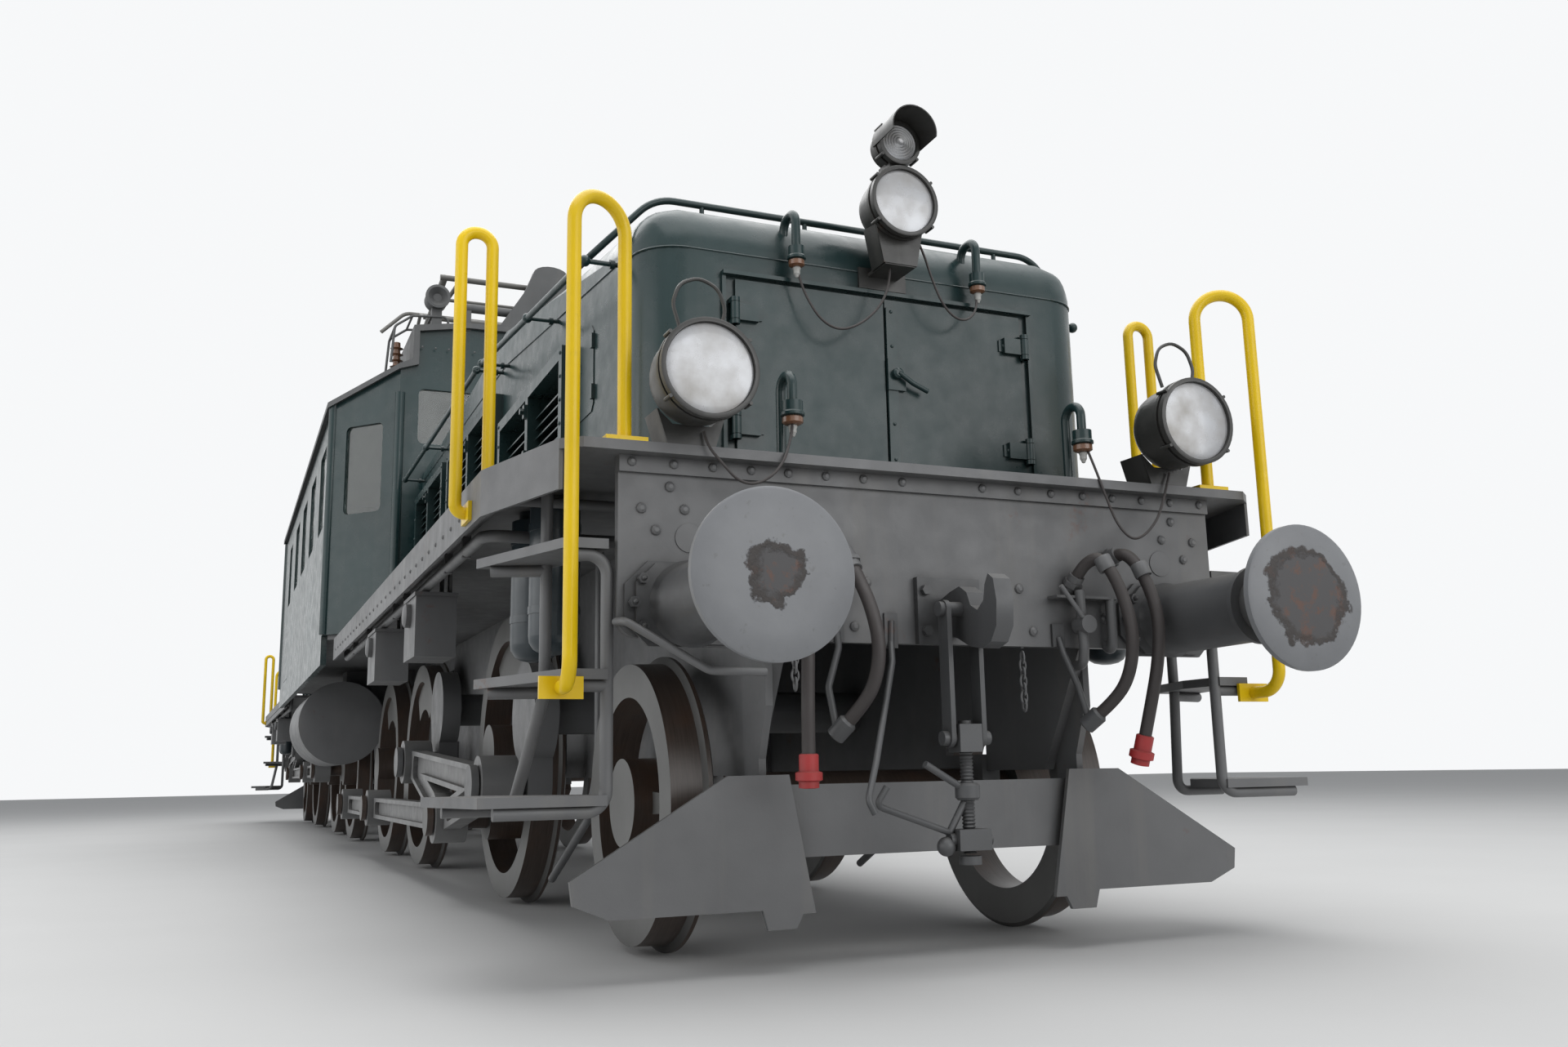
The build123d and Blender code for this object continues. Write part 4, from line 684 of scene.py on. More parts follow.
louvre_bm = bmesh.new()
louvre_shade_bm = bmesh.new()
for side in SIDES:
    face, proud = side * (HOOD_HALF - 2), side * (HOOD_HALF + STANDOFF)
    back, cap = side * (HOOD_HALF - RECESS + 2), proud + side * 14
    for bay in LOUVRE_BAYS:
        rear, front, top = bay
        (w1_rear, w1_front), (w2_rear, w2_front) = louvre_windows(bay)
        for low_x, high_x in ((rear, w1_rear), (w1_front, w2_rear), (w2_front, front)):
            add_box(louvre_bm, (low_x, face, LOUVRE_LOW), (high_x, proud, top))
        for low_x, high_x in ((w1_rear, w1_front), (w2_rear, w2_front)):
            add_box(louvre_bm, (low_x, face, LOUVRE_LOW), (high_x, proud, LOUVRE_LOW + MEMBER))
            add_box(louvre_bm, (low_x, face, top - MEMBER), (high_x, proud, top))
            # A black sheet at the back of each opening: painted shade.
            add_box(louvre_shade_bm, (low_x + 1, back, LOUVRE_LOW + MEMBER + 1),
                    (high_x - 1, back + side, top - MEMBER - 1))
            slat_out, slat_in = HOOD_HALF + STANDOFF / 3, HOOD_HALF - RECESS + 10
            for row in range(louvre_rows(top)):
                z = LOUVRE_LOW + MEMBER + (row + 0.5) * SLAT_PITCH
                section = ((slat_out, z), (slat_out, z + SLAT_THICK), (slat_in, z + SLAT_RISE + SLAT_THICK),
                           (slat_in, z + SLAT_RISE))
                add_rings(louvre_bm, [[(x, side * y, height) for y, height in section]
                                      for x in (low_x, high_x)])
        middle = (w1_front + w2_rear) / 2
        for height in (LOUVRE_LOW + 110, (LOUVRE_LOW + top) / 2, top - 110):
            add_box(louvre_bm, (middle - 17, proud, height - 30), (middle + 17, cap, height + 30))
            add_head(louvre_bm, (middle, cap, height), side * ACROSS, 15, 16, 6)
        for x in (rear + 25, front - 25):
            for step in range(7):
                height = LOUVRE_LOW + 25 + (top - LOUVRE_LOW - 50) * step / 6
                add_head(louvre_bm, (x, proud, height), side * ACROSS, 9, 6)
place_both(louvre_bm, "louvres", GREEN)
place_both(louvre_shade_bm, "louvre_shade_sheets", SHADE_BLACK)

# %% [markdown]
# ## Trim on the hood
# A strip over the locker doors keeps the rain out and one down each side frames them, with ears for the
# hinges. Hatches are thin plates with cut corners. The weld seam between the side and the roof shows as a
# fine line that runs on round the nose.

# %% Trim, hatches, seams and hinge ears
TRIM, TRIM_HALF = 14, 625
HINGE_Y, HINGE_HEIGHTS = 585, (1720, 2125)
SEAM_R = 3.5
trim_bm = bmesh.new()
trim_top = DOOR_HIGH + 24
add_box(trim_bm, (HOOD_FRONT - 1, -TRIM_HALF, trim_top),
        (HOOD_FRONT + 2 * TRIM, TRIM_HALF, trim_top + TRIM))
for side in SIDES:
    add_box(trim_bm, (HOOD_FRONT - 1, side * (TRIM_HALF - TRIM), DOOR_LOW),
            (HOOD_FRONT + TRIM, side * TRIM_HALF, trim_top + 1))
    for z in HINGE_HEIGHTS:
        hinge = Vector((HOOD_FRONT + 32, side * HINGE_Y, z))
        add_pipe(trim_bm, (hinge - 48 * UP, hinge + 48 * UP), 8)
        for offset in (-40, 40):
            ear = hinge + offset * UP
            add_pipe(trim_bm, (ear - 8 * UP, ear + 8 * UP), 16, 20)
            add_box(trim_bm, (HOOD_FRONT - 1, side * HINGE_Y, ear.z - 8),
                    (HOOD_FRONT + 32, side * (HINGE_Y + 16), ear.z + 8))
    add_plate(trim_bm, octagon(250, 340, 28), (7945, side * (HOOD_HALF + 1), 2090), AHEAD, UP, 6)
    for z in (1990, 2190):
        add_box(trim_bm, (8058, side * HOOD_HALF, z - 28), (8082, side * (HOOD_HALF + 14), z + 28))
    ends_and_break = (HOOD_REAR + 4, HOOD_BREAK, HOOD_FRONT - HOOD_EDGE)
    add_pipe(trim_bm, [(x, side * (HOOD_HALF + 1), hood_seam(x)) for x in ends_and_break], SEAM_R, 6)
    nose = [(HOOD_FRONT - HOOD_EDGE + (HOOD_EDGE + 1) * sin(radians(a)),
             side * (HOOD_HALF - HOOD_EDGE + (HOOD_EDGE + 1) * cos(radians(a))), SEAM_FRONT)
            for a in range(0, 91, 10)]
    add_pipe(trim_bm, nose, SEAM_R, 6)
    for x in (8560, 8520):
        add_head(trim_bm, (x - 60, side * HOOD_HALF, 2080 + (x - 8520) / 2), side * ACROSS, 11, 12)
add_pipe(trim_bm, [(HOOD_FRONT + 0.5, y, SEAM_FRONT) for y in (-740, 740)], 3, 6)
for y in (-380, 260):
    add_box(trim_bm, (HOOD_FRONT - 240, y - 60, 2530), (HOOD_FRONT - 190, y + 60, 2556))
place_both(trim_bm, "hood_trim", GREEN)

# %% [markdown]
# ## Handrails and goosenecks
# Walking along the hood a driver holds a rail that stands off the side on ball-ended stubs and climbs over
# the nose. Pipes bent like a goose's neck bring the lamps' wires out of the hood and end in sockets that
# face down, so that no water runs in.

# %% Hood rails, goosenecks and sockets
RAIL_R, RAIL_Y, RAIL_DROP = 13, 1035, 18
RAIL_STUBS = (8430, 7500, 6480, 6330, 4650, 3700)


def rail_height(x):
    """The rail follows the hood's seam."""
    return hood_seam(x) - RAIL_DROP


rails_bm = bmesh.new()
side_run = [(6460, RAIL_Y, rail_height(6460)), (8440, RAIL_Y, rail_height(8440)), (8500, 800, 2600)]
over_nose = rounded(side_run + [(x, -y, z) for x, y, z in reversed(side_run)], 170, 8)
add_pipe(rails_bm, over_nose, RAIL_R)
for side in SIDES:
    level = rail_height(6000)
    add_pipe(rails_bm, [(6350, side * RAIL_Y, level), (3680, side * RAIL_Y, level)], RAIL_R)
    for x in RAIL_STUBS:
        z = rail_height(x)
        add_pipe(rails_bm, [(x, side * (HOOD_HALF - 10), z), (x, side * RAIL_Y, z)], 9)
        add_pipe(rails_bm, [(x, side * (HOOD_HALF + 28), z), (x, side * (HOOD_HALF + 44), z)], 17, 16)
        add_turned(rails_bm, ball_profile(21, 20), (x, side * RAIL_Y, z), AHEAD, 20)
for y in (-620, -210, 210, 620):
    add_pipe(rails_bm, [(8500, y, 2510), (8500, y, 2600)], 9)
place_both(rails_bm, "hood_rails", GREEN)

UPPER_Y, LOWER_Y = 367, 545        # the necks on the nose and on the deck
neck_bm = bmesh.new()
ceramic_bm = bmesh.new()
plug_bm = bmesh.new()
for side in SIDES:
    upper = ((8660, 2410), (8660, 2510), (8768, 2510), (8768, 2370))
    lower = ((9015, DECK - 4), (9015, 1800), (9105, 1800), (9105, 1700))
    for y, bends, r in ((side * UPPER_Y, upper, 28), (side * LOWER_Y, lower, 33)):
        x, z = bends[-1]
        add_pipe(neck_bm, rounded([(along, y, height) for along, height in bends], 46), 16, 16)
        socket = ((0, 16), (2, r), (34, r), (40, r + 5), (48, r + 5), (52, r - 4))
        add_turned(neck_bm, socket, (x, y, z + 6), -UP, 28)
        add_turned(ceramic_bm, ((0, r - 4), (4, r), (20, r), (26, r - 10)), (x, y, z - 45), -UP, 28)
        plug = ((0, 12), (6, 15), (14, 12), (26, 12), (30, 9), (38, 6), (40, 3))
        add_turned(plug_bm, plug, (x, y, z - 70), -UP, 20)
    add_turned(neck_bm, ((0, 42), (10, 42), (14, 30), (22, 18)), (9015, side * LOWER_Y, DECK), UP, 24)
place_both(neck_bm, "goosenecks", GREEN)
place_both(ceramic_bm, "socket_rings", CERAMIC)
place_both(plug_bm, "cable_plugs", WHITE_PLUG)

# %% [markdown]
# ## Lamps
# Each headlamp is a drum of thin sheet with a dished back and a double ring that clamps the glass, a
# shallow dome. A bent sheet carries it. The small lamp on top has ribbed glass, a post and a half-round
# visor.

# %% Lamps
LAMPS = (    # place along, across, height, radius, length, height of the foot, place of the foot
    (9300, -885, 1722, 152, 235, DECK, 9125), (9300, 885, 1722, 152, 235, DECK, 9125),
    (8905, 0, 2550, 132, 185, 2330, 8850), (8880, 0, 2784, 84, 120, None, None))
lamp_bm = bmesh.new()
glass_bm = bmesh.new()
for x, y, z, radius, length, foot, foot_x in LAMPS:
    drum = [(-length, radius / 4), (-0.97 * length, radius / 2), (-0.88 * length, 0.72 * radius),
            (-0.75 * length, 0.87 * radius), (-0.62 * length, radius - 12), (-46, radius - 9), (-46, radius),
            (-32, radius), (-32, radius - 7), (-20, radius - 7), (-20, radius), (0, radius), (2, radius - 5),
            (2, radius - 14), (-10, radius - 16)]
    add_turned(lamp_bm, drum, (x, y, z))
    dome = [(-12, radius - 14)]
    if foot is None:                                       # the small lamp's ribbed glass
        dome += [(-10 + 14 * (1 - r / radius) + (3 if k % 2 else 0), r)
                 for k, r in enumerate(range(radius - 15, 4, -5))]
    else:
        dome += [(-10 + 9 * cos(radians(a)), (radius - 15) * sin(radians(a)))
                 for a in (80, 65, 50, 35, 20, 8)]
    add_turned(glass_bm, dome, (x, y, z))
    for angle in (38, 142, 218, 322):
        across, rise = cos(radians(angle)), sin(radians(angle))
        clasp = Vector((x - 26, y + across * (radius + 4), z + rise * (radius + 4)))
        add_pipe(lamp_bm, [clasp - 26 * AHEAD, clasp + 26 * AHEAD], 6, 8)
    if foot is None:
        add_box(lamp_bm, (x - 105, y - 34, z - 130), (x - 20, y + 34, z - 66))
        arcs = [[(x - 46 + along, y + r * cos(radians(a)), z + r * sin(radians(a)))
                 for a in range(-10, 191, 10)]
                for along, r in ((0, radius + 5), (158, radius + 5), (158, radius + 1), (0, radius + 1))]
        for near, far in zip(arcs, arcs[1:] + arcs[:1]):
            near, far = ([lamp_bm.verts.new(point) for point in arc] for arc in (near, far))
            for k in range(len(near) - 1):
                lamp_bm.faces.new((near[k], near[k + 1], far[k + 1], far[k]))
        continue
    wide, narrow, sheet = 0.72 * radius, 0.5 * radius, 8
    rise_to = z - 0.74 * radius
    front_plate = [(-narrow, foot), (narrow, foot), (wide, rise_to + 26), (0.4 * radius, rise_to - 18),
                   (-0.4 * radius, rise_to - 18), (-wide, rise_to + 26)]
    add_plate(lamp_bm, front_plate, (foot_x, y, 0), ACROSS, UP, sheet)
    for side in SIDES:
        low_y, high_y, back_x = y + side * narrow, y + side * wide, foot_x - 0.5 * length
        cheek = [(foot_x, low_y, foot), (back_x, low_y, foot), (back_x, high_y, rise_to + 26),
                 (foot_x, high_y, rise_to + 26)]
        add_rings(lamp_bm, [cheek, [(a, b - side * sheet, c) for a, b, c in cheek]])
    if foot == DECK:
        bends = [(9205, 62, -14), (9200, 84, 66), (9198, 62, 132)]
        wire = [(a, y - b, z + radius + c) for a, b, c in bends] + [(9197, y, z + radius + 158)]
        wire += [(a, y + b, z + radius + c) for a, b, c in reversed(bends)]
        add_pipe(lamp_bm, rounded(wire, 60, 4), 6, 8)
    else:
        add_box(lamp_bm, (HOOD_FRONT + 1, -95, 2282), (HOOD_FRONT + 12, 95, 2360))
        add_box(lamp_bm, (HOOD_FRONT + 1, -60, 2326), (foot_x, 60, 2338))
place_both(lamp_bm, "lamp_drums", LAMP, replaced="lamps")
place_both(glass_bm, "lamp_glasses", LAMP_GLASS)

# %% [markdown]
# ## Buffers, hook and coupling
# A buffer is a slim tube with a wide, slightly domed disc. Between the two hangs the screw coupling: flat
# links from a pin in the hook, a threaded spindle and a lever. The coupling's end is hung up out of the
# way.

# %% Buffers and draw gear
BEAM_FACE, BUFFER_END, BASE_PLATE = 9062, 9733, 14
COUPLING_X, COUPLING_Y = 9200, -32
PINS = ((1056, 78, 23), (660, 82, 22), (358, 72, 22))      # height, reach to each side, radius
gear_bm = bmesh.new()
disc_bm = bmesh.new()
for side in SIDES:
    y = side * BUFFER_Y
    base_x = BEAM_FACE
    for width, height, corner in ((400, 250, 70), (340, 236, 60)):
        add_plate(gear_bm, octagon(width, height, corner), (base_x + BASE_PLATE / 2, y, BUFFER_Z), ACROSS, UP,
                  BASE_PLATE)
        base_x += BASE_PLATE
    tube = ((0, 130), (18, 118), (420, 114), (422, 124), (440, 124), (442, 92), (568, 92), (594, 164),
            (602, 214))
    add_turned(gear_bm, tube, (base_x, y, BUFFER_Z), sides=64)
    disc = ((-40, 214), (-36, 224), (-17, 224), (-12, 216), (-7, 150), (-4, 75), (-3, 12))
    add_turned(disc_bm, disc, (BUFFER_END, y, BUFFER_Z), sides=64)
    for bolt_y, bolt_z in ((-150, 70), (-150, -70), (150, 70), (150, -70), (-176, 0), (176, 0)):
        add_head(gear_bm, (base_x - 6, y + bolt_y, BUFFER_Z + bolt_z), AHEAD, 17, 20, 6)
        add_head(gear_bm, (base_x + 12, y + bolt_y, BUFFER_Z + bolt_z), AHEAD, 9, 14)
place_both(disc_bm, "buffer_discs", DISC_STEEL)

add_box(gear_bm, (BEAM_FACE, -115, 958), (BEAM_FACE + 24, 115, 1172))
hook_side = [
    (9082, 1100), (9140, 1118), (9200, 1129), (9242, 1105), (9262, 1062), (9300, 1043), (9337, 1068),
    (9348, 1115), (9368, 1146), (9396, 1128), (9410, 1060), (9403, 985), (9370, 940), (9320, 924),
    (9250, 936), (9180, 968), (9082, 992)]
add_plate(gear_bm, hook_side, (0, 0, 0), AHEAD, UP, 60)
for bolt_y in (-88, 88):
    for bolt_z in (1000, 1130):
        add_head(gear_bm, (BEAM_FACE + 24, bolt_y, bolt_z), AHEAD, 17, 18, 6)
for height, reach, thick in PINS:
    add_pipe(gear_bm, [(COUPLING_X, COUPLING_Y - reach, height), (COUPLING_X, COUPLING_Y + reach, height)],
             thick, 20)
for link_y in (COUPLING_Y - 54, COUPLING_Y + 54):
    link = [(28 * cos(radians(a)), height + 28 * sin(radians(a)))
            for height, turn in ((PINS[0][0], 0), (PINS[1][0], 180)) for a in range(turn, turn + 181, 20)]
    add_plate(gear_bm, link, (COUPLING_X, link_y, 0), AHEAD, UP, 16)
for half_x, half_y, low, high in ((37, 39, 618, 702), (38, 55, 327, 389)):
    add_box(gear_bm, (COUPLING_X - half_x, COUPLING_Y - half_y, low),
            (COUPLING_X + half_x, COUPLING_Y + half_y, high))
threads = [(0.0, 21)] + [(6 + 5.5 * k, 21 if k % 2 else 17) for k in range(70)] + [(395, 21)]
add_turned(gear_bm, threads, (COUPLING_X, COUPLING_Y, 318), UP, 20)
add_turned(gear_bm, ((0, 34), (25, 34)), (COUPLING_X, COUPLING_Y, 285), UP, 24)
add_turned(gear_bm, ((0, 30), (8, 38), (44, 38), (52, 30)), (COUPLING_X, COUPLING_Y, 474), UP, 24)
add_pipe(gear_bm, [(COUPLING_X, COUPLING_Y, 500), (9222, -188, 584)], 11)
add_pipe(gear_bm, [(COUPLING_X, COUPLING_Y, 490), (9200, -100, 382)], 11)
add_pipe(gear_bm, rounded([(9200, -98, 380), (9250, -371, 468), (9252, -335, 520)], 16), 10)
add_turned(gear_bm, ball_profile(29, 15), (9200, -113, 340), UP, 24)
strap = [(9072, -205, 1030), (9072, -208, 960), (9120, -232, 895), (9250, -366, 592), (9298, -420, 485),
         (9300, -400, 446)]
add_pipe(gear_bm, rounded(strap, 30), 10)
add_box(gear_bm, (BEAM_FACE, -228, 945), (BEAM_FACE + 8, -182, 1055))
for route in ([(9070, -395, 990), (9085, -398, 940), (9098, -442, 819), (9104, -420, 690)],
              [(9070, 424, 990), (9085, 428, 940), (9096, 470, 834), (9108, 500, 712)]):
    add_pipe(gear_bm, rounded(route, 30), 11)
    x, y, z = route[0]
    add_box(gear_bm, (BEAM_FACE, y - 24, z - 30), (BEAM_FACE + 10, y + 24, z + 46))
place_both(gear_bm, "buffing", DARK_IRON, replaced="buffing_gear")

# %% [markdown]
# ## Fittings on the buffer beam
# Pipes for compressed air end at the beam in short stubs and elbows, to which the hoses are clamped. Bolts
# hold the beam to the frame, a bent bar makes a step beside the buffer, and short chains hang below.

# %% Beam fittings
beam_bm = bmesh.new()
hole_shade_bm = bmesh.new()
HOSE_ROUTES = {
    "left_inner": (
        (9086, -351, 1212), (9140, -344, 1140), (9195, -337, 1055), (9222, -325, 940), (9205, -333, 835),
        (9168, -358, 765), (9128, -395, 712)),
    "left_outer": (
        (9086, -531, 1244), (9125, -533, 1165), (9160, -535, 1080), (9173, -540, 940), (9174, -546, 780),
        (9169, -545, 620)),
    "right_inner": (
        (9086, 480, 1168), (9116, 486, 1204), (9150, 502, 1240), (9192, 524, 1248), (9226, 551, 1180),
        (9250, 575, 1070), (9258, 584, 970), (9235, 578, 860), (9190, 556, 785), (9135, 520, 735)),
    "right_outer": (
        (9086, 645, 1267), (9135, 651, 1280), (9178, 668, 1250), (9212, 697, 1160), (9243, 706, 1040),
        (9236, 694, 900), (9210, 676, 770), (9182, 664, 665)),
}
HOSE_R = 21


def way_back(name):
    """The hose's first point and the direction in which its pipe comes from the beam."""
    start, after = (Vector(point) for point in HOSE_ROUTES[name][:2])
    return start, (start - after).normalized()


for name in HOSE_ROUTES:
    tip, back = way_back(name)
    add_pipe(beam_bm, [tip - back * 38, tip + back * 40], 27, 20)
    add_pipe(beam_bm, [tip - back * 14, tip + back * 4], 34, 6)
for collar, way in (((9200, 532, 1226), (0.3, 0.26, -0.9)), ((9196, 683, 1212), (0.3, 0.2, -0.93))):
    add_turned(beam_bm, ((-24, 27), (-20, 29), (20, 29), (24, 27)), collar, way, 20)
down_pipe = [(9118, 484, 1147), (9116, 492, 960), (9095, 500, 900), (9046, 500, 900)]
add_pipe(beam_bm, rounded(down_pipe, 40), 17)
add_pipe(beam_bm, [(9090, 494, 1031), (9150, 494, 1031)], 30, 20)
add_pipe(beam_bm, [(9140, 494, 1031), (9148, 390, 1155)], 8)
add_pipe(beam_bm, rounded([(9100, 620, 1128), (9100, 620, 940), (9048, 622, 980)], 40), 17)
add_box(beam_bm, (9060, 395, 1120), (9116, 645, 1129))
step_bar = [(BEAM_FACE - 8, -1096, 1005), (9125, -1088, 1000), (9250, -880, 852), (9250, -709, 850)]
add_pipe(beam_bm, rounded(step_bar, 40), 12)
for y, top, count in ((-530, 825, 5), (290, 815, 7)):
    for link in range(count):
        middle = Vector((9050, y, top + 110 - 26 * link))
        side_way = ACROSS if link % 2 else AHEAD
        ring = [middle + side_way * 11 * cos(radians(a)) + UP * 20 * sin(radians(a))
                for a in range(0, 360, 30)]
        add_pipe(beam_bm, ring, 4, 6, closed=True)
    add_pipe(beam_bm, [(9050, y, top + 140), (9050, y, 962)], 7, 8)
for side in SIDES:
    hole = (BEAM_FACE, side * 873, 1261)
    # A black disc in each hole of the beam: painted shade.
    add_turned(hole_shade_bm, ((0, 40), (2, 40)), hole, sides=32)
    add_turned(beam_bm, ((0, 44), (3, 44), (3, 40)), hole, sides=32)
    for y in (1055, 925, 800, 675, 551, 422, 290, 150):
        add_head(beam_bm, (BEAM_FACE + 14, side * y, 1480), AHEAD, 15, 11)
    for y, z in ((933, 1414), (1022, 1344), (887, 1347), (977, 1280), (283, 1151), (330, 1010), (620, 1060)):
        add_head(beam_bm, (BEAM_FACE, side * y, z), AHEAD, 17, 12)
place_both(beam_bm, "beam_fittings", GREY)
place_both(hole_shade_bm, "beam_hole_shade", SHADE_BLACK)

# %% [markdown]
# ## Under and on the deck
# Air cylinders hang under the front corners, sand boxes stand on brackets beside the wheels, and two pipes
# run along the valance. The sand pipes lead down in front of the wheels. The deck's edge carries a row of
# rivets.

# %% Fittings under the deck
DECK_UNDERSIDE, PIPE_Y, CYLINDER_Y, SAND_Y = 1502, 1330, 1120, 750
BOX_INNER, BOX_OUTER = 1210, 1382
under_bm = bmesh.new()
cylinder_bm = bmesh.new()
for side in SIDES:
    for x in (8400, 8110):
        shape = ((0, 20), (6, 48), (18, 68), (40, 82), (62, 85), (500, 85), (504, 60), (534, 60))
        add_turned(cylinder_bm, shape, (x, side * CYLINDER_Y, 966), UP, 40)
        for z in (1100, 1380):
            add_turned(cylinder_bm, ((0, 88), (26, 88)), (x, side * CYLINDER_Y, z), UP, 40)
    for x in (5350, 6830):
        add_box(under_bm, (x - 170, side * BOX_INNER, 1080), (x + 170, side * BOX_OUTER, 1348))
        add_box(under_bm, (x - 178, side * (BOX_INNER - 6), 1340), (x + 178, side * (BOX_OUTER + 6), 1356))
        for offset in (-113, 113):
            add_box(under_bm, (x + offset - 20, side * 1225, 1340),
                    (x + offset + 20, side * 1239, DECK_UNDERSIDE))
        add_turned(under_bm, ((0, 52), (22, 52), (30, 40)), (x, side * BOX_OUTER, 1270), side * ACROSS, 28)
    y = side * PIPE_Y
    for z, radius, rear_x, bend_x, bend in ((1455, 18, 3400, 8530, 60), (1385, 22, 3330, 8255, 55)):
        run = [(rear_x, y, DECK_UNDERSIDE), (rear_x, y, z), (bend_x, y, z), (bend_x, side * 700, z),
               (bend_x, side * 700, DECK_UNDERSIDE)]
        add_pipe(under_bm, rounded(run, bend), radius)
    for x in (3900, 4700, 5900, 6300, 7500, 7900):
        add_box(under_bm, (x - 12, y - 15, 1362), (x + 12, y + 15, DECK_UNDERSIDE))
    sand = [(x, side * SAND_Y, z) for x, z in ((7620, DECK_UNDERSIDE), (7620, 600), (7480, 400), (6880, 130))]
    add_pipe(under_bm, rounded(sand, 90), 17)
    for x in range(3400, 8560, 172):
        add_head(under_bm, (x, side * 1410, 1440), side * ACROSS, 9, 6, 8)
place_both(under_bm, "under_deck", GREY)
place_both(cylinder_bm, "air_cylinders", CYLINDER_PAINT)

# %% [markdown]
# ## The roof's leading edge and the cab's corners
# The cab's corners are round posts. On the raised part of the roof a domed housing covers the cable's way
# in, with a siren on a cross pipe beside it and a little cage of bars round the insulators.

# %% Cab posts and roof gear
posts_bm = bmesh.new()
for side in SIDES:
    for x, y in ((3438, 1055), (2995, 1463)):
        add_pipe(posts_bm, [(x, side * y, 1580), (x, side * y, 3262)], 34, 24)
place_both(posts_bm, "cab_posts", GREEN, "cab_body")

roof_bm = bmesh.new()
brown_bm = bmesh.new()
crown = [(130 * cos(radians(a)), 4270 + 65 * sin(radians(a))) for a in range(0, 181, 20)]
dome_outline = [(390, 3800), (190, 4120)] + crown + [(-190, 4120), (-390, 3800)]
add_plate(roof_bm, dome_outline, (3436, 0, 0), ACROSS, UP, 88)
add_pipe(roof_bm, [(3430, -240, 3950), (3430, -660, 3950)], 33, 16)
add_box(roof_bm, (3407, -623, 3770), (3453, -577, 3950))
siren = ((-70, 60), (-64, 80), (52, 80), (54, 88), (74, 88), (76, 70), (40, 30))
add_turned(roof_bm, siren, (3400, -820, 4000), sides=32)
add_box(roof_bm, (3360, -855, 3760), (3440, -785, 3925))
guard = [(-1130, 3480), (-1110, 3750), (-990, 3840), (-740, 3860), (-740, 3770)]
for x in (3120, 3440):
    add_pipe(roof_bm, rounded([(x, y, z) for y, z in guard], 50), 9)
for y, z in ((-1108, 3748), (-992, 3836), (-860, 3850)):
    add_pipe(roof_bm, [(3120, y, z), (3440, y, z)], 8)
for y in range(-920, 921, 92):
    add_head(roof_bm, (3486, y, 3600), AHEAD, 8, 5, 8)
place_both(roof_bm, "roof_edge_gear", DARK_GREY, "cab_body")
sheds = [ring for low in range(30, 200, 46) for ring in ((low, 24), (low + 8, 46), (low + 16, 26))]
add_turned(brown_bm, [(0, 30), (20, 30)] + sheds + [(220, 24)], (3300, -1075, 3450), UP, 24)
place_both(brown_bm, "roof_insulators", CERAMIC, "cab_body")

# %% [markdown]
# ## Hoses and lamp cables
# A hose hangs in a curve that its own weight and stiffness give it, so each is one smooth spline whose
# control points follow the photograph. The brake hoses are rubber; the outer two end in red heads, the
# inner two in holders. The lamp cables are thin and limp, and the first points of each lie inside its pipe.

# %% Hoses and cables
def spline_cord(name, points, radius, material, body):
    """A smooth cord through control points over the rail head; returns it, its centre line and its length."""
    curve = bpy.data.curves.new(name, "CURVE")
    curve.dimensions = "3D"
    spline = curve.splines.new("NURBS")
    spline.points.add(len(points) - 1)
    for control, point in zip(spline.points, points):
        control.co = (*(MILLIMETRES @ Vector(point)), 1.0)
    spline.order_u = 3
    spline.use_endpoint_u = True
    spline.resolution_u = 8
    cord = new_object(name, curve)
    centre_line = bpy.data.meshes.new_from_object(cord)
    line = [vertex.co.copy() for vertex in centre_line.vertices]
    length = sum((after - before).length for before, after in zip(line, line[1:]))
    curve.bevel_depth = radius / 1000
    curve.bevel_resolution = 3
    curve.use_fill_caps = True
    cord.data.materials.append(material)
    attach(cord, body)
    return cord, line, length


for name, route in HOSE_ROUTES.items():
    hose, line, length = spline_cord(f"front_hose_{name}", route, HOSE_R, HOSE, "front_bogie")
    hangs_free = name.endswith("outer")
    end = Vector(route[-1])
    down = (end - Vector(route[-2])).normalized()
    head_bm = bmesh.new()
    head_shape = ((0, 24), (3, 29), (50, 29), (54, 40), (76, 40), (80, 30), (98, 30), (100, 20))
    dummy_shape = ((-8, 22), (0, 30), (58, 30), (62, 24))
    add_turned(head_bm, head_shape if hangs_free else dummy_shape, end, down, 28)
    head = place(finished_mesh(head_bm, "hose_head"), f"front_hose_head_{name}", "front_bogie",
                 RED if hangs_free else DARK_IRON)
    print(name, "hose", round(length, 3), "m")

CABLE_R = 4.5
# The wire inside the pipe on the deck and in the one on the nose, on the left side
DECK_NECK = tuple((x, LOWER_Y, z) for x, z in (
    (9015, 1545), (9015, 1680), (9015, 1770), (9034, 1806), (9086, 1806), (9105, 1770), (9105, 1680)))
NOSE_NECK = tuple((x, UPPER_Y, z) for x, z in (
    (8698, 2504), (8735, 2515), (8768, 2500), (8768, 2420), (8768, 2330)))


def right_side(points):
    """The same points on the other side."""
    return tuple((x, -y, z) for x, y, z in points)


CABLE_ROUTES = {
    "deck_right_side": right_side(DECK_NECK) + (
        (9120, -553, 1600), (9150, -602, 1480), (9165, -682, 1418), (9170, -752, 1417), (9165, -810, 1481),
        (9150, -845, 1529), (9140, -851, 1572)),
    "deck_left_side": DECK_NECK + (
        (9125, 572, 1580), (9142, 600, 1470), (9155, 625, 1380), (9167, 663, 1327), (9172, 702, 1322),
        (9168, 760, 1360), (9158, 820, 1430), (9140, 880, 1572)),
    "upper_right_side": right_side(NOSE_NECK) + (
        (8770, -360, 2262), (8775, -335, 2190), (8788, -290, 2110), (8800, -229, 2075), (8805, -160, 2095),
        (8810, -90, 2150), (8810, -43, 2217), (8810, -20, 2300), (8810, -18, 2380)),
    "upper_left_side": NOSE_NECK + (
        (8770, 360, 2255), (8780, 340, 2210), (8790, 296, 2176), (8800, 238, 2180), (8808, 185, 2230),
        (8812, 145, 2320), (8812, 120, 2400), (8812, 100, 2440)),
}
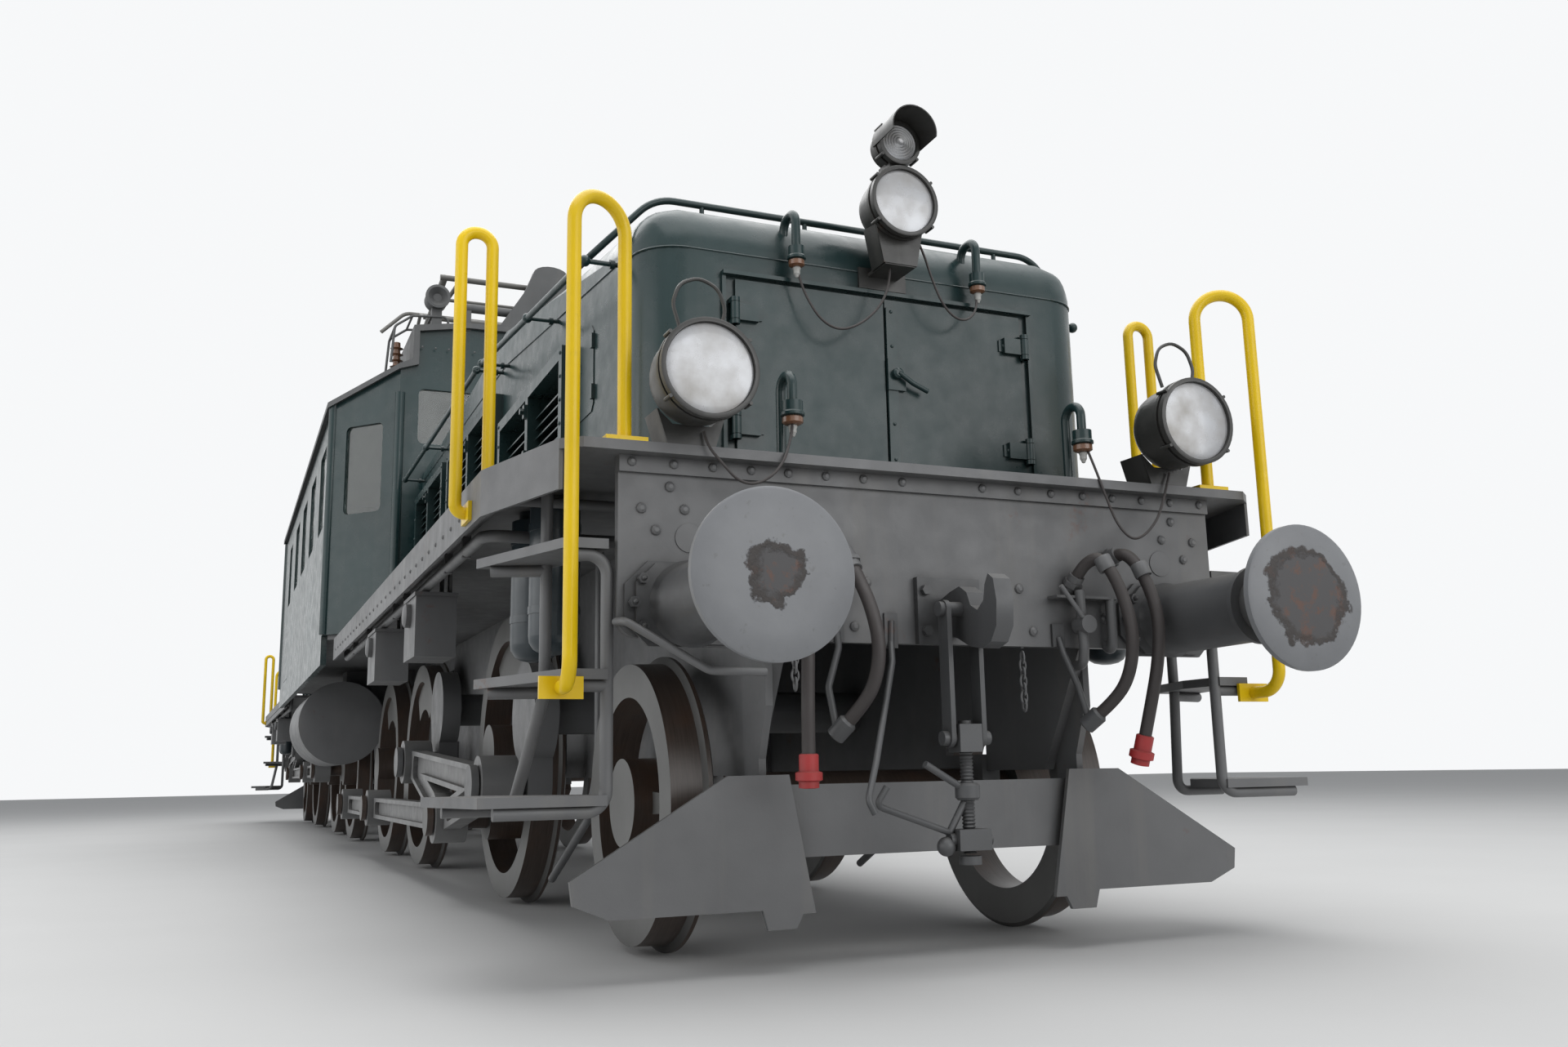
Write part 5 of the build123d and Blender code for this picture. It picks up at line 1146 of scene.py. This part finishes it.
for name, route in CABLE_ROUTES.items():
    cable, line, length = spline_cord(f"front_cable_{name}", route, CABLE_R, HOSE, "front_bogie")
    print(name, "cable", round(length, 3), "m")

# %% [markdown]
# ## The locker doors' latch
# The left leaf carries the latch: a cover strip over its bars and a case with a lever. Both leaves have
# hinge straps. All of it rides its door, so that it swings along.

# %% Latch and door hinges
LEAF_FACE = HOOD_FRONT + 14.3
latch_bm = bmesh.new()
add_box(latch_bm, (LEAF_FACE, 4, 1640), (LEAF_FACE + 8, 44, 2215))
add_box(latch_bm, (LEAF_FACE, 2, 1905), (LEAF_FACE + 14, 72, 2020))
add_turned(latch_bm, ((0, 20), (18, 20), (24, 12)), (LEAF_FACE + 12, 36, 1965), AHEAD, 20)
lever = [(LEAF_FACE + 32, 36, 1965), (LEAF_FACE + 34, 90, 1930), (LEAF_FACE + 34, 150, 1905)]
add_pipe(latch_bm, rounded(lever, 20), 9)
for z in (1650, 1780, 2070, 2200):
    add_head(latch_bm, (LEAF_FACE + 8, 24, z), AHEAD, 7, 5, 8)
place_both(latch_bm, "door_latch", GREEN, "hood_door_left")
for leaf, side in (("left", 1), ("right", -1)):
    strap_bm = bmesh.new()
    for z in HINGE_HEIGHTS:
        add_box(strap_bm, (LEAF_FACE, side * 480, z - 22), (LEAF_FACE + 6, side * 560, z + 22))
        for y in (500, 535):
            add_head(strap_bm, (LEAF_FACE + 6, side * y, z), AHEAD, 8, 6, 8)
    place_both(strap_bm, f"door_straps_{leaf}", GREEN, f"hood_door_{leaf}")

# %% [markdown]
# ## The studio
# The photograph's light is broad and soft: strong from above, weaker from the front and from the side.
# Three large area lamps do the same. The floor is a flat sheet in pale grey, and the world is bright only
# for the rays that look straight at it, by reflection or through glass, so that it doesn't bleach the
# paint.

# %% Floor, lamps and world
def stage_material(name, colour):
    """One dull colour with faint cloudy differences."""
    material, tree, shader = new_material(name)
    clouds = spread(tree, noise(tree, 0.8, 5.0), 0.3, 0.7)
    darker = tuple(part * 0.97 for part in colour)
    tree.links.new(blend_colours(tree, clouds, darker, colour), shader.inputs["Base Color"])
    shader.inputs["Roughness"].default_value = 0.9
    return material


FLOOR_HALF = 60.0
floor_mesh = bpy.data.meshes.new("floor")
corners = [(a * FLOOR_HALF, b * FLOOR_HALF, 0) for a, b in ((-1, -1), (1, -1), (1, 1), (-1, 1))]
floor_mesh.from_pydata(corners, [], [(0, 1, 2, 3)])
floor = new_object("floor", floor_mesh)
floor.data.materials.append(stage_material("floor", (0.60, 0.60, 0.595)))


def area_lamp(name, stand, target, width, depth, power):
    """A rectangular lamp that stands at one point and looks at another."""
    data = bpy.data.lights.new(name, "AREA")
    data.shape = "RECTANGLE"
    data.size = width
    data.size_y = depth
    data.energy = power
    lamp = new_object(name, data)
    aim = (Vector(target) - Vector(stand)).to_track_quat("-Z", "Y")
    lamp.matrix_world = Matrix.LocRotScale(Vector(stand), aim, None)


area_lamp("sky", (4.0, 0.0, 12.0), (4.0, 0.0, 0.0), 26.0, 14.0, 2300.0)
area_lamp("front_fill", (24.0, 6.0, 6.0), (8.0, 0.0, 1.6), 14.0, 8.0, 800.0)
area_lamp("side_fill", (6.0, -15.0, 5.0), (4.0, 0.0, 1.6), 20.0, 8.0, 650.0)

world = bpy.data.worlds.new("studio")
bpy.context.scene.world = world
world.use_nodes = True
world_tree = world.node_tree
background = world_tree.nodes["Background"]
world_output = world_tree.nodes["World Output"]
background.inputs["Color"].default_value = (0.86, 0.89, 0.93, 1.0)
background.inputs["Strength"].default_value = 0.36
backdrop = world_tree.nodes.new("ShaderNodeBackground")
backdrop.inputs["Color"].default_value = (0.93, 0.94, 0.95, 1.0)
backdrop.inputs["Strength"].default_value = 1.0
rays = world_tree.nodes.new("ShaderNodeLightPath")
seen = times(world_tree, rays.outputs["Is Camera Ray"], rays.outputs["Is Transmission Ray"], "MAXIMUM")
seen = times(world_tree, seen, rays.outputs["Is Glossy Ray"], "MAXIMUM")   # 1 for these three kinds of ray
mix_world = world_tree.nodes.new("ShaderNodeMixShader")
world_tree.links.new(seen, mix_world.inputs["Fac"])
world_tree.links.new(background.outputs["Background"], mix_world.inputs[1])
world_tree.links.new(backdrop.outputs["Background"], mix_world.inputs[2])
world_tree.links.new(mix_world.outputs["Shader"], world_output.inputs["Surface"])
bpy.context.scene.view_settings.view_transform = "Standard"
print("studio ready")
